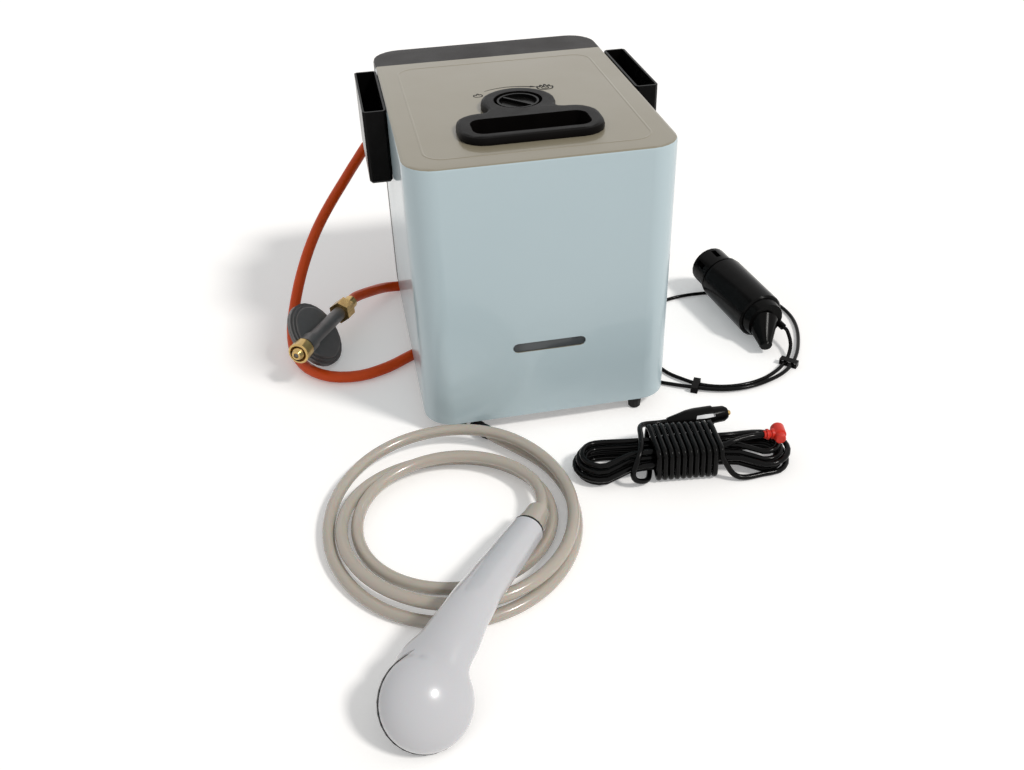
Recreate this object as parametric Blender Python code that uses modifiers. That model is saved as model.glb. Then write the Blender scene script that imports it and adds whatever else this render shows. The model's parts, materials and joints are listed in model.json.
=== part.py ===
"""Portable gas water heater with its hand shower, gas regulator, pump and 12 V lead.

The case frame has its origin on the floor under the middle of the white cover:
+X to the right, +Y to the back, +Z up, all in metres. Every piece hangs on one empty,
which is moved at the end so that the world origin is the middle of the floor area
that the pieces other than the free cords take up.
"""

import math

import bmesh
import bpy
from mathutils import Matrix, Vector
from mathutils.kdtree import KDTree

# Case
CASE_WIDTH = 0.270
SHELL_DEPTH = 0.316
REAR_DEPTH = 0.060
CASE_HEIGHT = 0.292
FOOT_HEIGHT = 0.016
PLAN_RADIUS = 0.032
EDGE_RADIUS = 0.003
SHEET = 0.0012
GAP = 0.0003
TRAY_LIP = 0.010

HALF = CASE_WIDTH / 2
FRONT = -SHELL_DEPTH / 2
SEAM = SHELL_DEPTH / 2
BACK = SEAM + REAR_DEPTH
BOTTOM = FOOT_HEIGHT
TOP = BOTTOM + CASE_HEIGHT
FLOOR_PLATE = BOTTOM + SHEET + GAP
INNER_HALF = HALF - SHEET - GAP

# Feet
FOOT_RADIUS = 0.0082
FOOT_INSET_X = 0.036
FOOT_FRONT_INSET = 0.0110
FOOT_REAR_INSET = 0.022
FOOT_NECK = 0.003

# Viewing slot in the front
SLOT_LENGTH = 0.078
SLOT_WIDTH = 0.011
SLOT_HEIGHT = 0.087

# Handle and knob moulding on the top
RIM_HEIGHT = 0.008
RIM_ROUND = 0.0035
HANDLE_HALF = 0.073
HANDLE_FRONT = 0.045
HANDLE_DEPTH = 0.070
HANDLE_CORNER = 0.026
NECK_FILLET = 0.008
KNOB_INSET = 0.142
KNOB_RING_RADIUS = 0.039
RECESS_HALF = 0.0595
RECESS_FRONT = 0.056
RECESS_WIDTH = 0.040
RECESS_CORNER = 0.012
RECESS_DEPTH = 0.026
MOULD_WALL = 0.002
WELL_RADIUS = 0.0255
WELL_DEPTH = 0.008
KNOB_RADIUS = 0.0220
KNOB_HEIGHT = 0.013
KNOB_RING = 0.0022
KNOB_FACE_DROP = 0.0035
KNOB_RIB = 0.0026
SPINDLE_RADIUS = 0.003

HANDLE_Y = FRONT + HANDLE_FRONT
RECESS_Y = FRONT + RECESS_FRONT
KNOB_Y = FRONT + KNOB_INSET
RIM_TOP = TOP + RIM_HEIGHT
CUP_BOTTOM = TOP - RECESS_DEPTH + MOULD_WALL

# Side pockets
POCKET_WIDTH = 0.025
POCKET_LENGTH = 0.134
POCKET_HEIGHT = 0.080
POCKET_BACK_INSET = 0.014
POCKET_WALL = 0.0022

# Combustion chamber, seen from the front through the slot
CHAMBER_HALF = 0.080
CHAMBER_FRONT = -0.055
CHAMBER_DEPTH = 0.150
CHAMBER_ROOM = 0.083
CHAMBER_SHEET = 0.001
BURNER_LIFT = 0.045
BURNER_HEIGHT = 0.018
BURNER_BARS = 7
FIN_HEIGHT = 0.040
FIN_COUNT = 6
FIN_GAP = 0.007
FIN_WEB = 0.003
COIL_PIPE = 0.012
COIL_DROP = 0.080
HOOD_HEIGHT = 0.021
FLUE_HEIGHT = 0.058
FLUE_START = 0.060
MANIFOLD_RADIUS = 0.006
JET_RADIUS = 0.0025
GAS_PIPE = 0.007

CHAMBER_BACK = CHAMBER_FRONT + CHAMBER_DEPTH
CHAMBER_HEIGHT = CASE_HEIGHT - CHAMBER_ROOM
CHAMBER_TOP = FLOOR_PLATE + CHAMBER_HEIGHT
CHAMBER_INNER = CHAMBER_HALF - CHAMBER_SHEET
FIN_BOTTOM = CHAMBER_TOP - FIN_HEIGHT
COIL_Z = CHAMBER_TOP - FIN_HEIGHT / 2
HOOD_TOP = CHAMBER_TOP + HOOD_HEIGHT
BURNER_BOTTOM = FLOOR_PLATE + BURNER_LIFT
BURNER_TOP = BURNER_BOTTOM + BURNER_HEIGHT
JET_Z = BURNER_BOTTOM + BURNER_HEIGHT / 2
MANIFOLD_Y = CHAMBER_FRONT - GAP - MANIFOLD_RADIUS

# Gas valve under the knob
VALVE_HALF = 0.022
VALVE_HEIGHT = 0.030
VALVE_TOP = HOOD_TOP + GAP + VALVE_HEIGHT
VALVE_PIPE_Z = VALVE_TOP - VALVE_HEIGHT / 2

# Rear connections
PANEL_HALF = 0.090
PANEL_BOTTOM = 0.015
PANEL_HEIGHT = 0.058
PANEL_THICK = 0.002
PANEL_LAP = 0.007
PORT_HEIGHT = 0.044
WATER_IN_X = -0.050
WATER_OUT_X = 0.000
LEAD_SOCKET_X = 0.040
PUMP_SOCKET_X = 0.072
WATER_FITTING_RADIUS = 0.009
WATER_BORE = 0.0055
SOCKET_RADIUS = 0.009
SOCKET_BORE = 0.0042
FITTING_REACH = 0.018
GAS_PORT_INSET = 0.0455
GAS_PORT_HEIGHT = 0.179
GAS_FITTING_RADIUS = 0.0085
LOUVRE_COUNT = 6
LOUVRE_PITCH = 0.013
LOUVRE_HEIGHT = 0.006
LOUVRE_LEFT = -0.055
LOUVRE_LENGTH = 0.150
LOUVRE_TOP = 0.022

PORT_Z = BOTTOM + PORT_HEIGHT
GAS_PORT_X = GAS_PORT_INSET - HALF
GAS_PORT_Z = BOTTOM + GAS_PORT_HEIGHT
PANEL_FACE = BACK - SHEET - GAP
PANEL_INNER = PANEL_FACE - PANEL_THICK
FITTING_END = BACK + FITTING_REACH
FLANGE_IN = PANEL_INNER - 0.006

# Electrics and sensors
MODULE_SIZE = (0.020, 0.085, 0.062)
MODULE_Y = 0.020
MODULE_LIFT = 0.105
TILT_SIZE = (0.022, 0.026, 0.020)
TILT_Y = 0.118
ELECTRODE_RADIUS = 0.0035
ELECTRODE_X = 0.055
ELECTRODE_RISE = 0.012
FLOW_SENSOR_RADIUS = 0.013
FLOW_SENSOR_LENGTH = 0.032

# Gas hose and regulator
HOSE_DIAMETER = 0.0133
REGULATOR_AT = (-0.247, 0.031, 0.0351)
REGULATOR_PITCH = -6.3
REGULATOR_LEAN = 53.6
REGULATOR_HEADING = -26.5
DISC_RADIUS = 0.041
DISC_FLANGE = 0.0027
TUBE_RADIUS = 0.0085
TUBE_RISE = 0.0125
TUBE_INLET = 0.047
TUBE_OUTLET = 0.049
SPIGOT_RADIUS = 0.006
SPIGOT_LENGTH = 0.021
INLET_NUT_RADIUS = 0.0125
INLET_NUT_LENGTH = 0.017
INLET_NUT_WALL = 0.0025
OUTLET_NUT_RADIUS = 0.0138
OUTLET_NUT_LENGTH = 0.0187
FERRULE_RADIUS = 0.0086
FERRULE_LENGTH = 0.016

# Pump
PUMP_AT = (0.288, -0.046, 0.0288)
PUMP_PITCH = 2.7
PUMP_HEADING = 8.8
PUMP_RADIUS = 0.0285
PUMP_LENGTH = 0.096
PUMP_WALL = 0.003
PUMP_BASE_RADIUS = 0.025
PUMP_BASE_LENGTH = 0.011
PUMP_FLOOR = 0.020
MOTOR_LENGTH = 0.046
CAP_RADIUS = 0.0245
CAP_LENGTH = 0.037
CAP_WALL = 0.0028
CAP_FLANGE = 0.0025
CAP_SKIRT = 0.008
CAP_SLOTS = 6
CAP_SLOT_WIDTH = 0.0065
IMPELLER_RADIUS = 0.020
IMPELLER_LENGTH = 0.012
GLAND_RADIUS = 0.0042
PUMP_LEAD = 0.0045
TIE_WIDTH = 0.008
TIE_WALL = 0.0009

# 12 V lead in its hank
LEAD = 0.0058
HANK_AT = (0.1155, -0.2590)
HANK_HEADING = -6.5
HANK_HALF = 0.112
HANK_STEP = 0.0072
HANK_LAYER = 0.00665
HANK_TURNS = 2
HANK_LAYERS = 4
HANK_WAIST = 0.0040
HANK_END = 0.0135
HANK_SKIP = 23 / 24
WRAP_COUNT = 11
WRAP_PITCH = 0.00635
WRAP_CLEAR = 0.0011
LOOP_POINTS = 24
WRAP_POINTS = 20
CAR_PLUG_AT = (0.1125, -0.2185)
CAR_PLUG_Z = 0.027
PLUG_RADIUS = 0.0105
PLUG_TIP_RADIUS = 0.0042
PLUG_TIP_TRAVEL = 0.0025

# Shower hose and handset
SHOWER_HOSE = 0.012
COIL_AT = (-0.129, -0.296)
COIL_START_ANGLE = 57.0
COIL_TURNS = 3.19
COIL_LAYER = 0.0127
COIL_BUMP = 0.0024
CONNECTOR_RADIUS = 0.0077
CONNECTOR_LENGTH = 0.024
SECTION_POINTS = 18
HEAD_AT = (-0.1802, -0.5166)
FACE_NORMAL = (-0.25, 0.66, -0.71)
FACE_RADIUS = 0.0388
FACE_RIM = 0.0032
PLATE_THICK = 0.0034
DOME_HEIGHT = 0.028
HEAD_CUT_GAP = 0.0022
HEAD_CUT_END = 0.017
HEAD_CUT_DEPTH = 0.08
SEAL_LENGTH = 0.0015
NUT_LENGTH = 0.027
NUT_RADIUS = 0.0138
NUT_END_RADIUS = 0.0112
NUT_AT = (-0.049, -0.324, 0.0262)
HANDSET_AXIS = (-0.537, -0.839, 0.101)

# Handset handle from the ring into the dome: centre, half width and half height of each section
SECTIONS = (
    ((-0.0646, -0.3484, 0.0289), 0.0152, 0.0152),
    ((-0.0905, -0.3838, 0.0345), 0.0168, 0.0160),
    ((-0.1149, -0.4192, 0.0428), 0.0178, 0.0166),
    ((-0.1350, -0.4505, 0.0488), 0.0200, 0.0182),
    ((-0.1552, -0.4794, 0.0468), 0.0236, 0.0192),
    ((-0.1714, -0.4969, 0.0402), 0.0303, 0.0192),
    ((-0.1768, -0.5100, 0.0340), 0.0345, 0.0176),
)

# Pieces that lie loose beside the case, left out of the middle of the floor area
FREE = {
    "gas_hose", "hose_ferrule", "shower_hose", "hose_connector", "pump_lead", "pump_plug", "lead_tie_1",
    "lead_tie_2", "lead_hank", "lead_plug_body", "lead_plug_tip", "red_plug",
}

# Finishes: base colour, roughness, metallic
FINISHES = {
    "enamel": ((0.62, 0.68, 0.70), 0.30, 0.0),
    "dark_steel": ((0.045, 0.040, 0.038), 0.45, 0.3),
    "zinc": ((0.42, 0.43, 0.43), 0.45, 1.0),
    "charcoal_plastic": ((0.040, 0.036, 0.034), 0.42, 0.0),
    "black_plastic": ((0.012, 0.012, 0.013), 0.30, 0.0),
    "rubber": ((0.015, 0.015, 0.015), 0.80, 0.0),
    "glass": ((0.10, 0.10, 0.10), 0.05, 0.0),
    "brass": ((0.60, 0.42, 0.16), 0.30, 1.0),
    "copper": ((0.65, 0.32, 0.20), 0.35, 1.0),
    "cast_zinc": ((0.26, 0.25, 0.24), 0.50, 0.8),
    "orange_hose": ((0.62, 0.075, 0.015), 0.35, 0.0),
    "milky_hose": ((0.66, 0.62, 0.56), 0.30, 0.0),
    "white_plastic": ((0.72, 0.72, 0.74), 0.18, 0.0),
    "red_plastic": ((0.70, 0.035, 0.020), 0.40, 0.0),
    "black_pvc": ((0.010, 0.010, 0.011), 0.25, 0.0),
    "ceramic": ((0.75, 0.74, 0.70), 0.40, 0.0),
    "steel_tip": ((0.60, 0.60, 0.60), 0.25, 1.0),
}

X_AXIS = Vector((1, 0, 0))
Y_AXIS = Vector((0, 1, 0))
Z_AXIS = Vector((0, 0, 1))


def clear_scene():
    """Remove whatever the open file holds."""
    for obj in list(bpy.data.objects):
        bpy.data.objects.remove(obj, do_unlink=True)


def new_collection(name):
    collection = bpy.data.collections.new(name)
    bpy.context.scene.collection.children.link(collection)
    return collection


clear_scene()
PARTS = new_collection("portable_gas_water_heater")
CUTTERS = new_collection("cutters")
CASE_FRAME = bpy.data.objects.new("case_frame", None)
bpy.context.scene.collection.objects.link(CASE_FRAME)


def make_material(name, finish):
    colour, roughness, metallic = FINISHES[finish]
    material = bpy.data.materials.new(f"{name}_{finish}")
    material.use_nodes = True
    shader = material.node_tree.nodes["Principled BSDF"]
    shader.inputs["Base Color"].default_value = (*colour, 1.0)
    shader.inputs["Roughness"].default_value = roughness
    shader.inputs["Metallic"].default_value = metallic
    return material


def place(name, mesh, finish, parent=None, smooth=True):
    """Link a mesh as a part, or as a cutter when it has no finish."""
    obj = bpy.data.objects.new(name, mesh)
    obj.parent = parent or CASE_FRAME
    if smooth:
        mesh.shade_smooth()
        mesh.set_sharp_from_angle(angle=math.radians(35))
    if finish is None:
        CUTTERS.objects.link(obj)
        obj.hide_render = True
        obj.display_type = "WIRE"
    else:
        PARTS.objects.link(obj)
        mesh.materials.append(make_material(name, finish))
    return obj


def to_mesh(name, bm):
    bmesh.ops.recalc_face_normals(bm, faces=bm.faces)
    mesh = bpy.data.meshes.new(name)
    bm.to_mesh(mesh)
    bm.free()
    return mesh


def box_bmesh(low, high):
    low, high = Vector(low), Vector(high)
    bm = bmesh.new()
    bmesh.ops.create_cube(bm, size=1.0)
    bmesh.ops.scale(bm, vec=high - low, verts=bm.verts)
    bmesh.ops.translate(bm, vec=(low + high) / 2, verts=bm.verts)
    return bm


def block(name, low, high, finish=None, parent=None, bevel=0.0):
    """A box between two corners, its edges rounded by bevel."""
    bm = box_bmesh(low, high)
    if bevel:
        bmesh.ops.bevel(bm, geom=bm.edges[:], offset=bevel, segments=2, profile=0.5, affect="EDGES")
    return place(name, to_mesh(name, bm), finish, parent)


def rod(name, radius, start, end, finish=None, parent=None, sides=16, end_radius=None):
    """A cylinder or cone from one point to another."""
    start, end = Vector(start), Vector(end)
    bm = bmesh.new()
    far = radius if end_radius is None else end_radius
    bmesh.ops.create_cone(
        bm, cap_ends=True, segments=sides, radius1=radius, radius2=far, depth=(end - start).length
    )
    turn = (end - start).to_track_quat("Z", "Y").to_matrix().to_4x4()
    bmesh.ops.transform(bm, matrix=Matrix.Translation((start + end) / 2) @ turn, verts=bm.verts)
    return place(name, to_mesh(name, bm), finish, parent)


def turned(name, profile, finish=None, parent=None, at=(0, 0, 0), axis=Z_AXIS, steps=28):
    """A profile of (radius, height), top to bottom down its outer side, turned about an axis."""
    mesh = bpy.data.meshes.new(name)
    ring = profile[0] == profile[-1]
    corners = profile[:-1] if ring else profile
    edges = [(i, i + 1) for i in range(len(corners) - 1)]
    if ring:
        edges.append((len(corners) - 1, 0))
    mesh.from_pydata([(r, 0, z) for r, z in corners], edges, [])
    obj = place(name, mesh, finish, parent, smooth=False)
    obj.location = at
    obj.rotation_euler = Vector(axis).to_track_quat("Z", "Y").to_euler()
    screw = obj.modifiers.new("turn", "SCREW")
    screw.steps = steps
    screw.render_steps = steps
    screw.use_merge_vertices = True
    screw.merge_threshold = 0.00001
    screw.use_smooth_shade = True
    return obj


def arc(centre, radius, start, end, steps):
    """Points of an arc, its angles in degrees."""
    angles = [math.radians(start + (end - start) * i / steps) for i in range(steps + 1)]
    return [(centre[0] + radius * math.cos(a), centre[1] + radius * math.sin(a)) for a in angles]


def rounded_rectangle(x0, x1, y0, y1, radius, steps=4):
    points = arc((x1 - radius, y0 + radius), radius, -90, 0, steps)
    points += arc((x1 - radius, y1 - radius), radius, 0, 90, steps)
    points += arc((x0 + radius, y1 - radius), radius, 90, 180, steps)
    return points + arc((x0 + radius, y0 + radius), radius, 180, 270, steps)


def slab(name, outline, low, high, finish=None, parent=None, turn=None, top_round=0.0, holes=()):
    """A flat outline given thickness along its local Z, with its top edge rounded."""
    curve = bpy.data.curves.new(name, "CURVE")
    curve.dimensions = "2D"
    curve.fill_mode = "BOTH"
    curve.extrude = (high - low) / 2
    for points in (outline, *holes):
        spline = curve.splines.new("POLY")
        spline.points.add(len(points) - 1)
        for point, (x, y) in zip(spline.points, points):
            point.co = (x, y, 0, 1)
        spline.use_cyclic_u = True
    guide = bpy.data.objects.new(name + "_outline", curve)
    CUTTERS.objects.link(guide)
    bpy.context.view_layer.update()
    flat = bpy.data.meshes.new_from_object(guide.evaluated_get(bpy.context.evaluated_depsgraph_get()))
    bpy.data.objects.remove(guide)
    bm = bmesh.new()
    bm.from_mesh(flat)
    bmesh.ops.remove_doubles(bm, verts=bm.verts, dist=0.00001)
    bmesh.ops.translate(bm, vec=(0, 0, (high + low) / 2), verts=bm.verts)
    if top_round:
        bmesh.ops.dissolve_limit(bm, angle_limit=0.01, verts=bm.verts, edges=bm.edges)
        rim = [e for e in bm.edges if all(abs(v.co.z - high) < 1e-6 for v in e.verts)]
        bmesh.ops.bevel(bm, geom=rim, offset=top_round, segments=2, profile=0.5, affect="EDGES")
    if turn is not None:
        bmesh.ops.transform(bm, matrix=turn, verts=bm.verts)
    return place(name, to_mesh(name, bm), finish, parent)


def boolean(obj, operation, others):
    for other in others:
        modifier = obj.modifiers.new(f"{operation.lower()}_{other.name}", "BOOLEAN")
        modifier.operation = operation
        modifier.object = other
    return obj


def cut(obj, *others):
    return boolean(obj, "DIFFERENCE", others)


def join(obj, *others):
    return boolean(obj, "UNION", others)


def smooth_route(points, spacing):
    """Even points along a centripetal Catmull-Rom curve, its first and last runs left straight."""
    knots = [Vector(p) for p in points]
    dense = []
    for p0, p1, p2, p3 in zip(knots, knots[1:], knots[2:], knots[3:]):
        t1 = math.sqrt((p1 - p0).length)
        t2 = t1 + math.sqrt((p2 - p1).length)
        t3 = t2 + math.sqrt((p3 - p2).length)
        for i in range(24):
            t = t1 + (t2 - t1) * i / 24
            a1 = p0 * ((t1 - t) / t1) + p1 * (t / t1)
            a2 = p1 * ((t2 - t) / (t2 - t1)) + p2 * ((t - t1) / (t2 - t1))
            a3 = p2 * ((t3 - t) / (t3 - t2)) + p3 * ((t - t2) / (t3 - t2))
            b1 = a1 * ((t2 - t) / t2) + a2 * (t / t2)
            b2 = a2 * ((t3 - t) / (t3 - t1)) + a3 * ((t - t1) / (t3 - t1))
            dense.append(b1 * ((t2 - t) / (t2 - t1)) + b2 * ((t - t1) / (t2 - t1)))
    dense.append(knots[-2])
    lengths = [0.0]
    for a, b in zip(dense, dense[1:]):
        lengths.append(lengths[-1] + (b - a).length)
    count = max(2, round(lengths[-1] / spacing))
    even = [knots[0]]
    index = 0
    for i in range(count + 1):
        goal = lengths[-1] * i / count
        while index < len(lengths) - 2 and lengths[index + 1] < goal:
            index += 1
        step = lengths[index + 1] - lengths[index]
        even.append(dense[index].lerp(dense[index + 1], (goal - lengths[index]) / step))
    return even + [knots[-1]]


def path_length(points):
    return sum((Vector(b) - Vector(a)).length for a, b in zip(points, points[1:]))


def tube(name, points, diameter, finish=None, parent=None, resolution=2):
    """A round tube along a run of points, its ends filled."""
    curve = bpy.data.curves.new(name, "CURVE")
    curve.dimensions = "3D"
    curve.bevel_depth = diameter / 2
    curve.bevel_resolution = resolution
    curve.use_fill_caps = True
    spline = curve.splines.new("POLY")
    spline.points.add(len(points) - 1)
    for point, place_at in zip(spline.points, points):
        point.co = (*place_at, 1)
    obj = bpy.data.objects.new(name, curve)
    obj.parent = parent or CASE_FRAME
    if finish is None:
        CUTTERS.objects.link(obj)
        return curve_to_mesh(obj)
    PARTS.objects.link(obj)
    curve.materials.append(make_material(name, finish))
    return obj


def curve_to_mesh(obj):
    """Turn a curve object into a cutter mesh with its caps welded."""
    name, matrix, parent = obj.name, obj.matrix_world.copy(), obj.parent
    bpy.context.view_layer.update()
    flat = bpy.data.meshes.new_from_object(obj.evaluated_get(bpy.context.evaluated_depsgraph_get()))
    bpy.data.objects.remove(obj)
    bm = bmesh.new()
    bm.from_mesh(flat)
    bmesh.ops.remove_doubles(bm, verts=bm.verts, dist=0.00001)
    made = place(name, to_mesh(name, bm), None, parent)
    made.matrix_world = matrix
    return made


def case_cover(name, y0, y1, rounded_y, open_y, finish):
    """A cover with a rounded end in plan, a closed top, and an open bottom and other end."""
    bm = box_bmesh((-HALF, y0, BOTTOM), (HALF, y1, TOP))
    upright = [
        e for e in bm.edges
        if all(abs(v.co.y - rounded_y) < 1e-6 for v in e.verts)
        and abs(e.verts[0].co.z - e.verts[1].co.z) > 1e-6
    ]
    bmesh.ops.bevel(bm, geom=upright, offset=PLAN_RADIUS, segments=6, profile=0.5, affect="EDGES")
    rim = [
        e for e in bm.edges
        if all(abs(v.co.z - TOP) < 1e-6 for v in e.verts)
        and not all(abs(v.co.y - open_y) < 1e-6 for v in e.verts)
    ]
    bmesh.ops.bevel(bm, geom=rim, offset=EDGE_RADIUS, segments=2, profile=0.5, affect="EDGES")
    doomed = [
        f for f in bm.faces
        if all(abs(v.co.z - BOTTOM) < 1e-6 for v in f.verts)
        or all(abs(v.co.y - open_y) < 1e-6 for v in f.verts)
    ]
    bmesh.ops.delete(bm, geom=doomed, context="FACES")
    mesh = bpy.data.meshes.new(name)
    bm.to_mesh(mesh)
    bm.free()
    obj = place(name, mesh, finish)
    shell = obj.modifiers.new("sheet", "SOLIDIFY")
    shell.thickness = SHEET
    shell.offset = -1
    shell.use_even_offset = True
    return obj


def handle_outline():
    """The oval handle surround joined by fillets to the ring round the knob."""
    front, back = HANDLE_Y, HANDLE_Y + HANDLE_DEPTH
    corner = HANDLE_CORNER
    fillet_y = back + NECK_FILLET
    reach = KNOB_RING_RADIUS + NECK_FILLET
    fillet_x = math.sqrt(reach**2 - (fillet_y - KNOB_Y) ** 2)
    lean = math.degrees(math.atan2(KNOB_Y - fillet_y, fillet_x))
    right = arc((HANDLE_HALF - corner, front + corner), corner, -90, 0, 5)
    right += arc((HANDLE_HALF - corner, back - corner), corner, 0, 90, 5)
    right += arc((fillet_x, fillet_y), NECK_FILLET, 270, 180 - lean, 3)
    right += arc((0, KNOB_Y), KNOB_RING_RADIUS, -lean, 90, 8)[1:]
    left = [(-x, y) for x, y in reversed(right[:-1])]
    return right + left


def make_case():
    shell = case_cover("outer_shell", FRONT, SEAM, FRONT, SEAM, "enamel")
    into_front = Matrix.Translation((0, FRONT, BOTTOM + SLOT_HEIGHT)) @ Matrix.Rotation(math.pi / 2, 4, "X")
    half, end = SLOT_LENGTH / 2, SLOT_WIDTH / 2
    stadium = arc((half - end, 0), end, -90, 90, 5) + arc((end - half, 0), end, 90, 270, 5)
    slot = slab("slot_cutter", stadium, -0.01, 0.01, turn=into_front)
    cup = slab("cup_hole_cutter", recess_outline(MOULD_WALL + GAP), TOP - 0.01, TOP + 0.01)
    well = rod(
        "well_hole_cutter", WELL_RADIUS + MOULD_WALL + GAP, (0, KNOB_Y, TOP - 0.01),
        (0, KNOB_Y, TOP + 0.01), sides=32,
    )
    cut(shell, slot, cup, well)

    tray = box_bmesh(
        (-INNER_HALF, FRONT + SHEET + GAP, BOTTOM), (INNER_HALF, BACK - SHEET - GAP, BOTTOM + TRAY_LIP)
    )
    upright = [e for e in tray.edges if abs(e.verts[0].co.z - e.verts[1].co.z) > 1e-6]
    inner_radius = PLAN_RADIUS - SHEET - GAP
    bmesh.ops.bevel(tray, geom=upright, offset=inner_radius, segments=5, profile=0.5, affect="EDGES")
    lid = [f for f in tray.faces if all(v.co.z > BOTTOM + TRAY_LIP / 2 for v in f.verts)]
    bmesh.ops.delete(tray, geom=lid, context="FACES")
    mesh = bpy.data.meshes.new("base_plate")
    tray.to_mesh(mesh)
    tray.free()
    plate = place("base_plate", mesh, "zinc")
    sheet = plate.modifiers.new("sheet", "SOLIDIFY")
    sheet.thickness = SHEET
    sheet.offset = -1
    sheet.use_even_offset = True
    for name, x, y in foot_places():
        hole = rod(
            f"{name}_hole", FOOT_NECK + 2 * GAP, (x, y, BOTTOM - 0.003), (x, y, BOTTOM + 0.004), sides=10
        )
        cut(plate, hole)
    for i in range(4):
        y = CHAMBER_FRONT + CHAMBER_DEPTH * (i + 0.5) / 4
        cut(plate, block(
            f"air_slot_{i}", (-CHAMBER_HALF * 0.7, y - 0.005, BOTTOM - 0.004),
            (CHAMBER_HALF * 0.7, y + 0.005, BOTTOM + 0.004),
        ))
    for name, x, y in foot_places():
        make_foot(name, x, y)

    rear = case_cover("rear_housing", SEAM + GAP, BACK, BACK, SEAM + GAP, "dark_steel")
    for i in range(LOUVRE_COUNT):
        z = TOP - LOUVRE_TOP - i * LOUVRE_PITCH
        cut(rear, block(
            f"louvre_{i}", (LOUVRE_LEFT, BACK - 0.01, z - LOUVRE_HEIGHT),
            (LOUVRE_LEFT + LOUVRE_LENGTH, BACK + 0.01, z),
        ))
    edge = PANEL_HALF - PANEL_LAP
    cut(rear, block(
        "panel_opening", (-edge, BACK - 0.01, BOTTOM + PANEL_BOTTOM + PANEL_LAP),
        (edge, BACK + 0.01, BOTTOM + PANEL_BOTTOM + PANEL_HEIGHT - PANEL_LAP),
    ))
    cut(rear, rod(
        "gas_port_hole", GAS_FITTING_RADIUS + GAP, (GAS_PORT_X, BACK - 0.01, GAS_PORT_Z),
        (GAS_PORT_X, BACK + 0.01, GAS_PORT_Z), sides=14,
    ))

    window_y = FRONT + SHEET + GAP
    block(
        "viewing_window", (-SLOT_LENGTH / 2 - 0.004, window_y, BOTTOM + SLOT_HEIGHT - SLOT_WIDTH),
        (SLOT_LENGTH / 2 + 0.004, window_y + 0.003, BOTTOM + SLOT_HEIGHT + SLOT_WIDTH), "glass",
    )
    for side, name in ((-1, "pocket_left"), (1, "pocket_right")):
        make_pocket(name, side)


def foot_places():
    x = HALF - FOOT_INSET_X
    front, back = FRONT + FOOT_FRONT_INSET, BACK - FOOT_REAR_INSET
    return (
        ("foot_front_left", -x, front), ("foot_front_right", x, front),
        ("foot_rear_left", -x, back), ("foot_rear_right", x, back),
    )


def make_foot(name, x, y):
    """A rubber foot whose neck and barb pass through the floor plate."""
    shoulder = BOTTOM - GAP
    barb = BOTTOM + SHEET + GAP
    profile = [
        (0, barb + 0.003), (FOOT_NECK * 1.3, barb + 0.003), (FOOT_NECK * 1.7, barb), (FOOT_NECK, barb),
        (FOOT_NECK, shoulder), (FOOT_RADIUS, shoulder), (FOOT_RADIUS * 0.84, 0.0012),
        (FOOT_RADIUS * 0.7, 0), (0, 0),
    ]
    turned(name, profile, "rubber", at=(x, y, 0), steps=10)


def make_pocket(name, side):
    """An open-topped pocket on one side of the case."""
    near = side * (HALF + GAP)
    far = side * (HALF + GAP + POCKET_WIDTH)
    back = SEAM - POCKET_BACK_INSET
    low = (min(near, far), back - POCKET_LENGTH, TOP - POCKET_HEIGHT)
    bm = box_bmesh(low, (max(near, far), back, TOP))
    bottom = [e for e in bm.edges if not all(v.co.z > TOP - 1e-6 for v in e.verts)]
    bmesh.ops.bevel(bm, geom=bottom, offset=0.003, segments=1, profile=0.5, affect="EDGES")
    lid = [f for f in bm.faces if all(v.co.z > TOP - 1e-6 for v in f.verts)]
    bmesh.ops.delete(bm, geom=lid, context="FACES")
    mesh = bpy.data.meshes.new(name)
    bm.to_mesh(mesh)
    bm.free()
    obj = place(name, mesh, "black_plastic")
    wall = obj.modifiers.new("wall", "SOLIDIFY")
    wall.thickness = POCKET_WALL
    wall.offset = -1
    wall.use_even_offset = True


def recess_outline(grow):
    """The handle recess in plan, grown on every side."""
    return rounded_rectangle(
        -RECESS_HALF - grow, RECESS_HALF + grow, RECESS_Y - grow, RECESS_Y + RECESS_WIDTH + grow,
        RECESS_CORNER + grow,
    )


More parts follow.
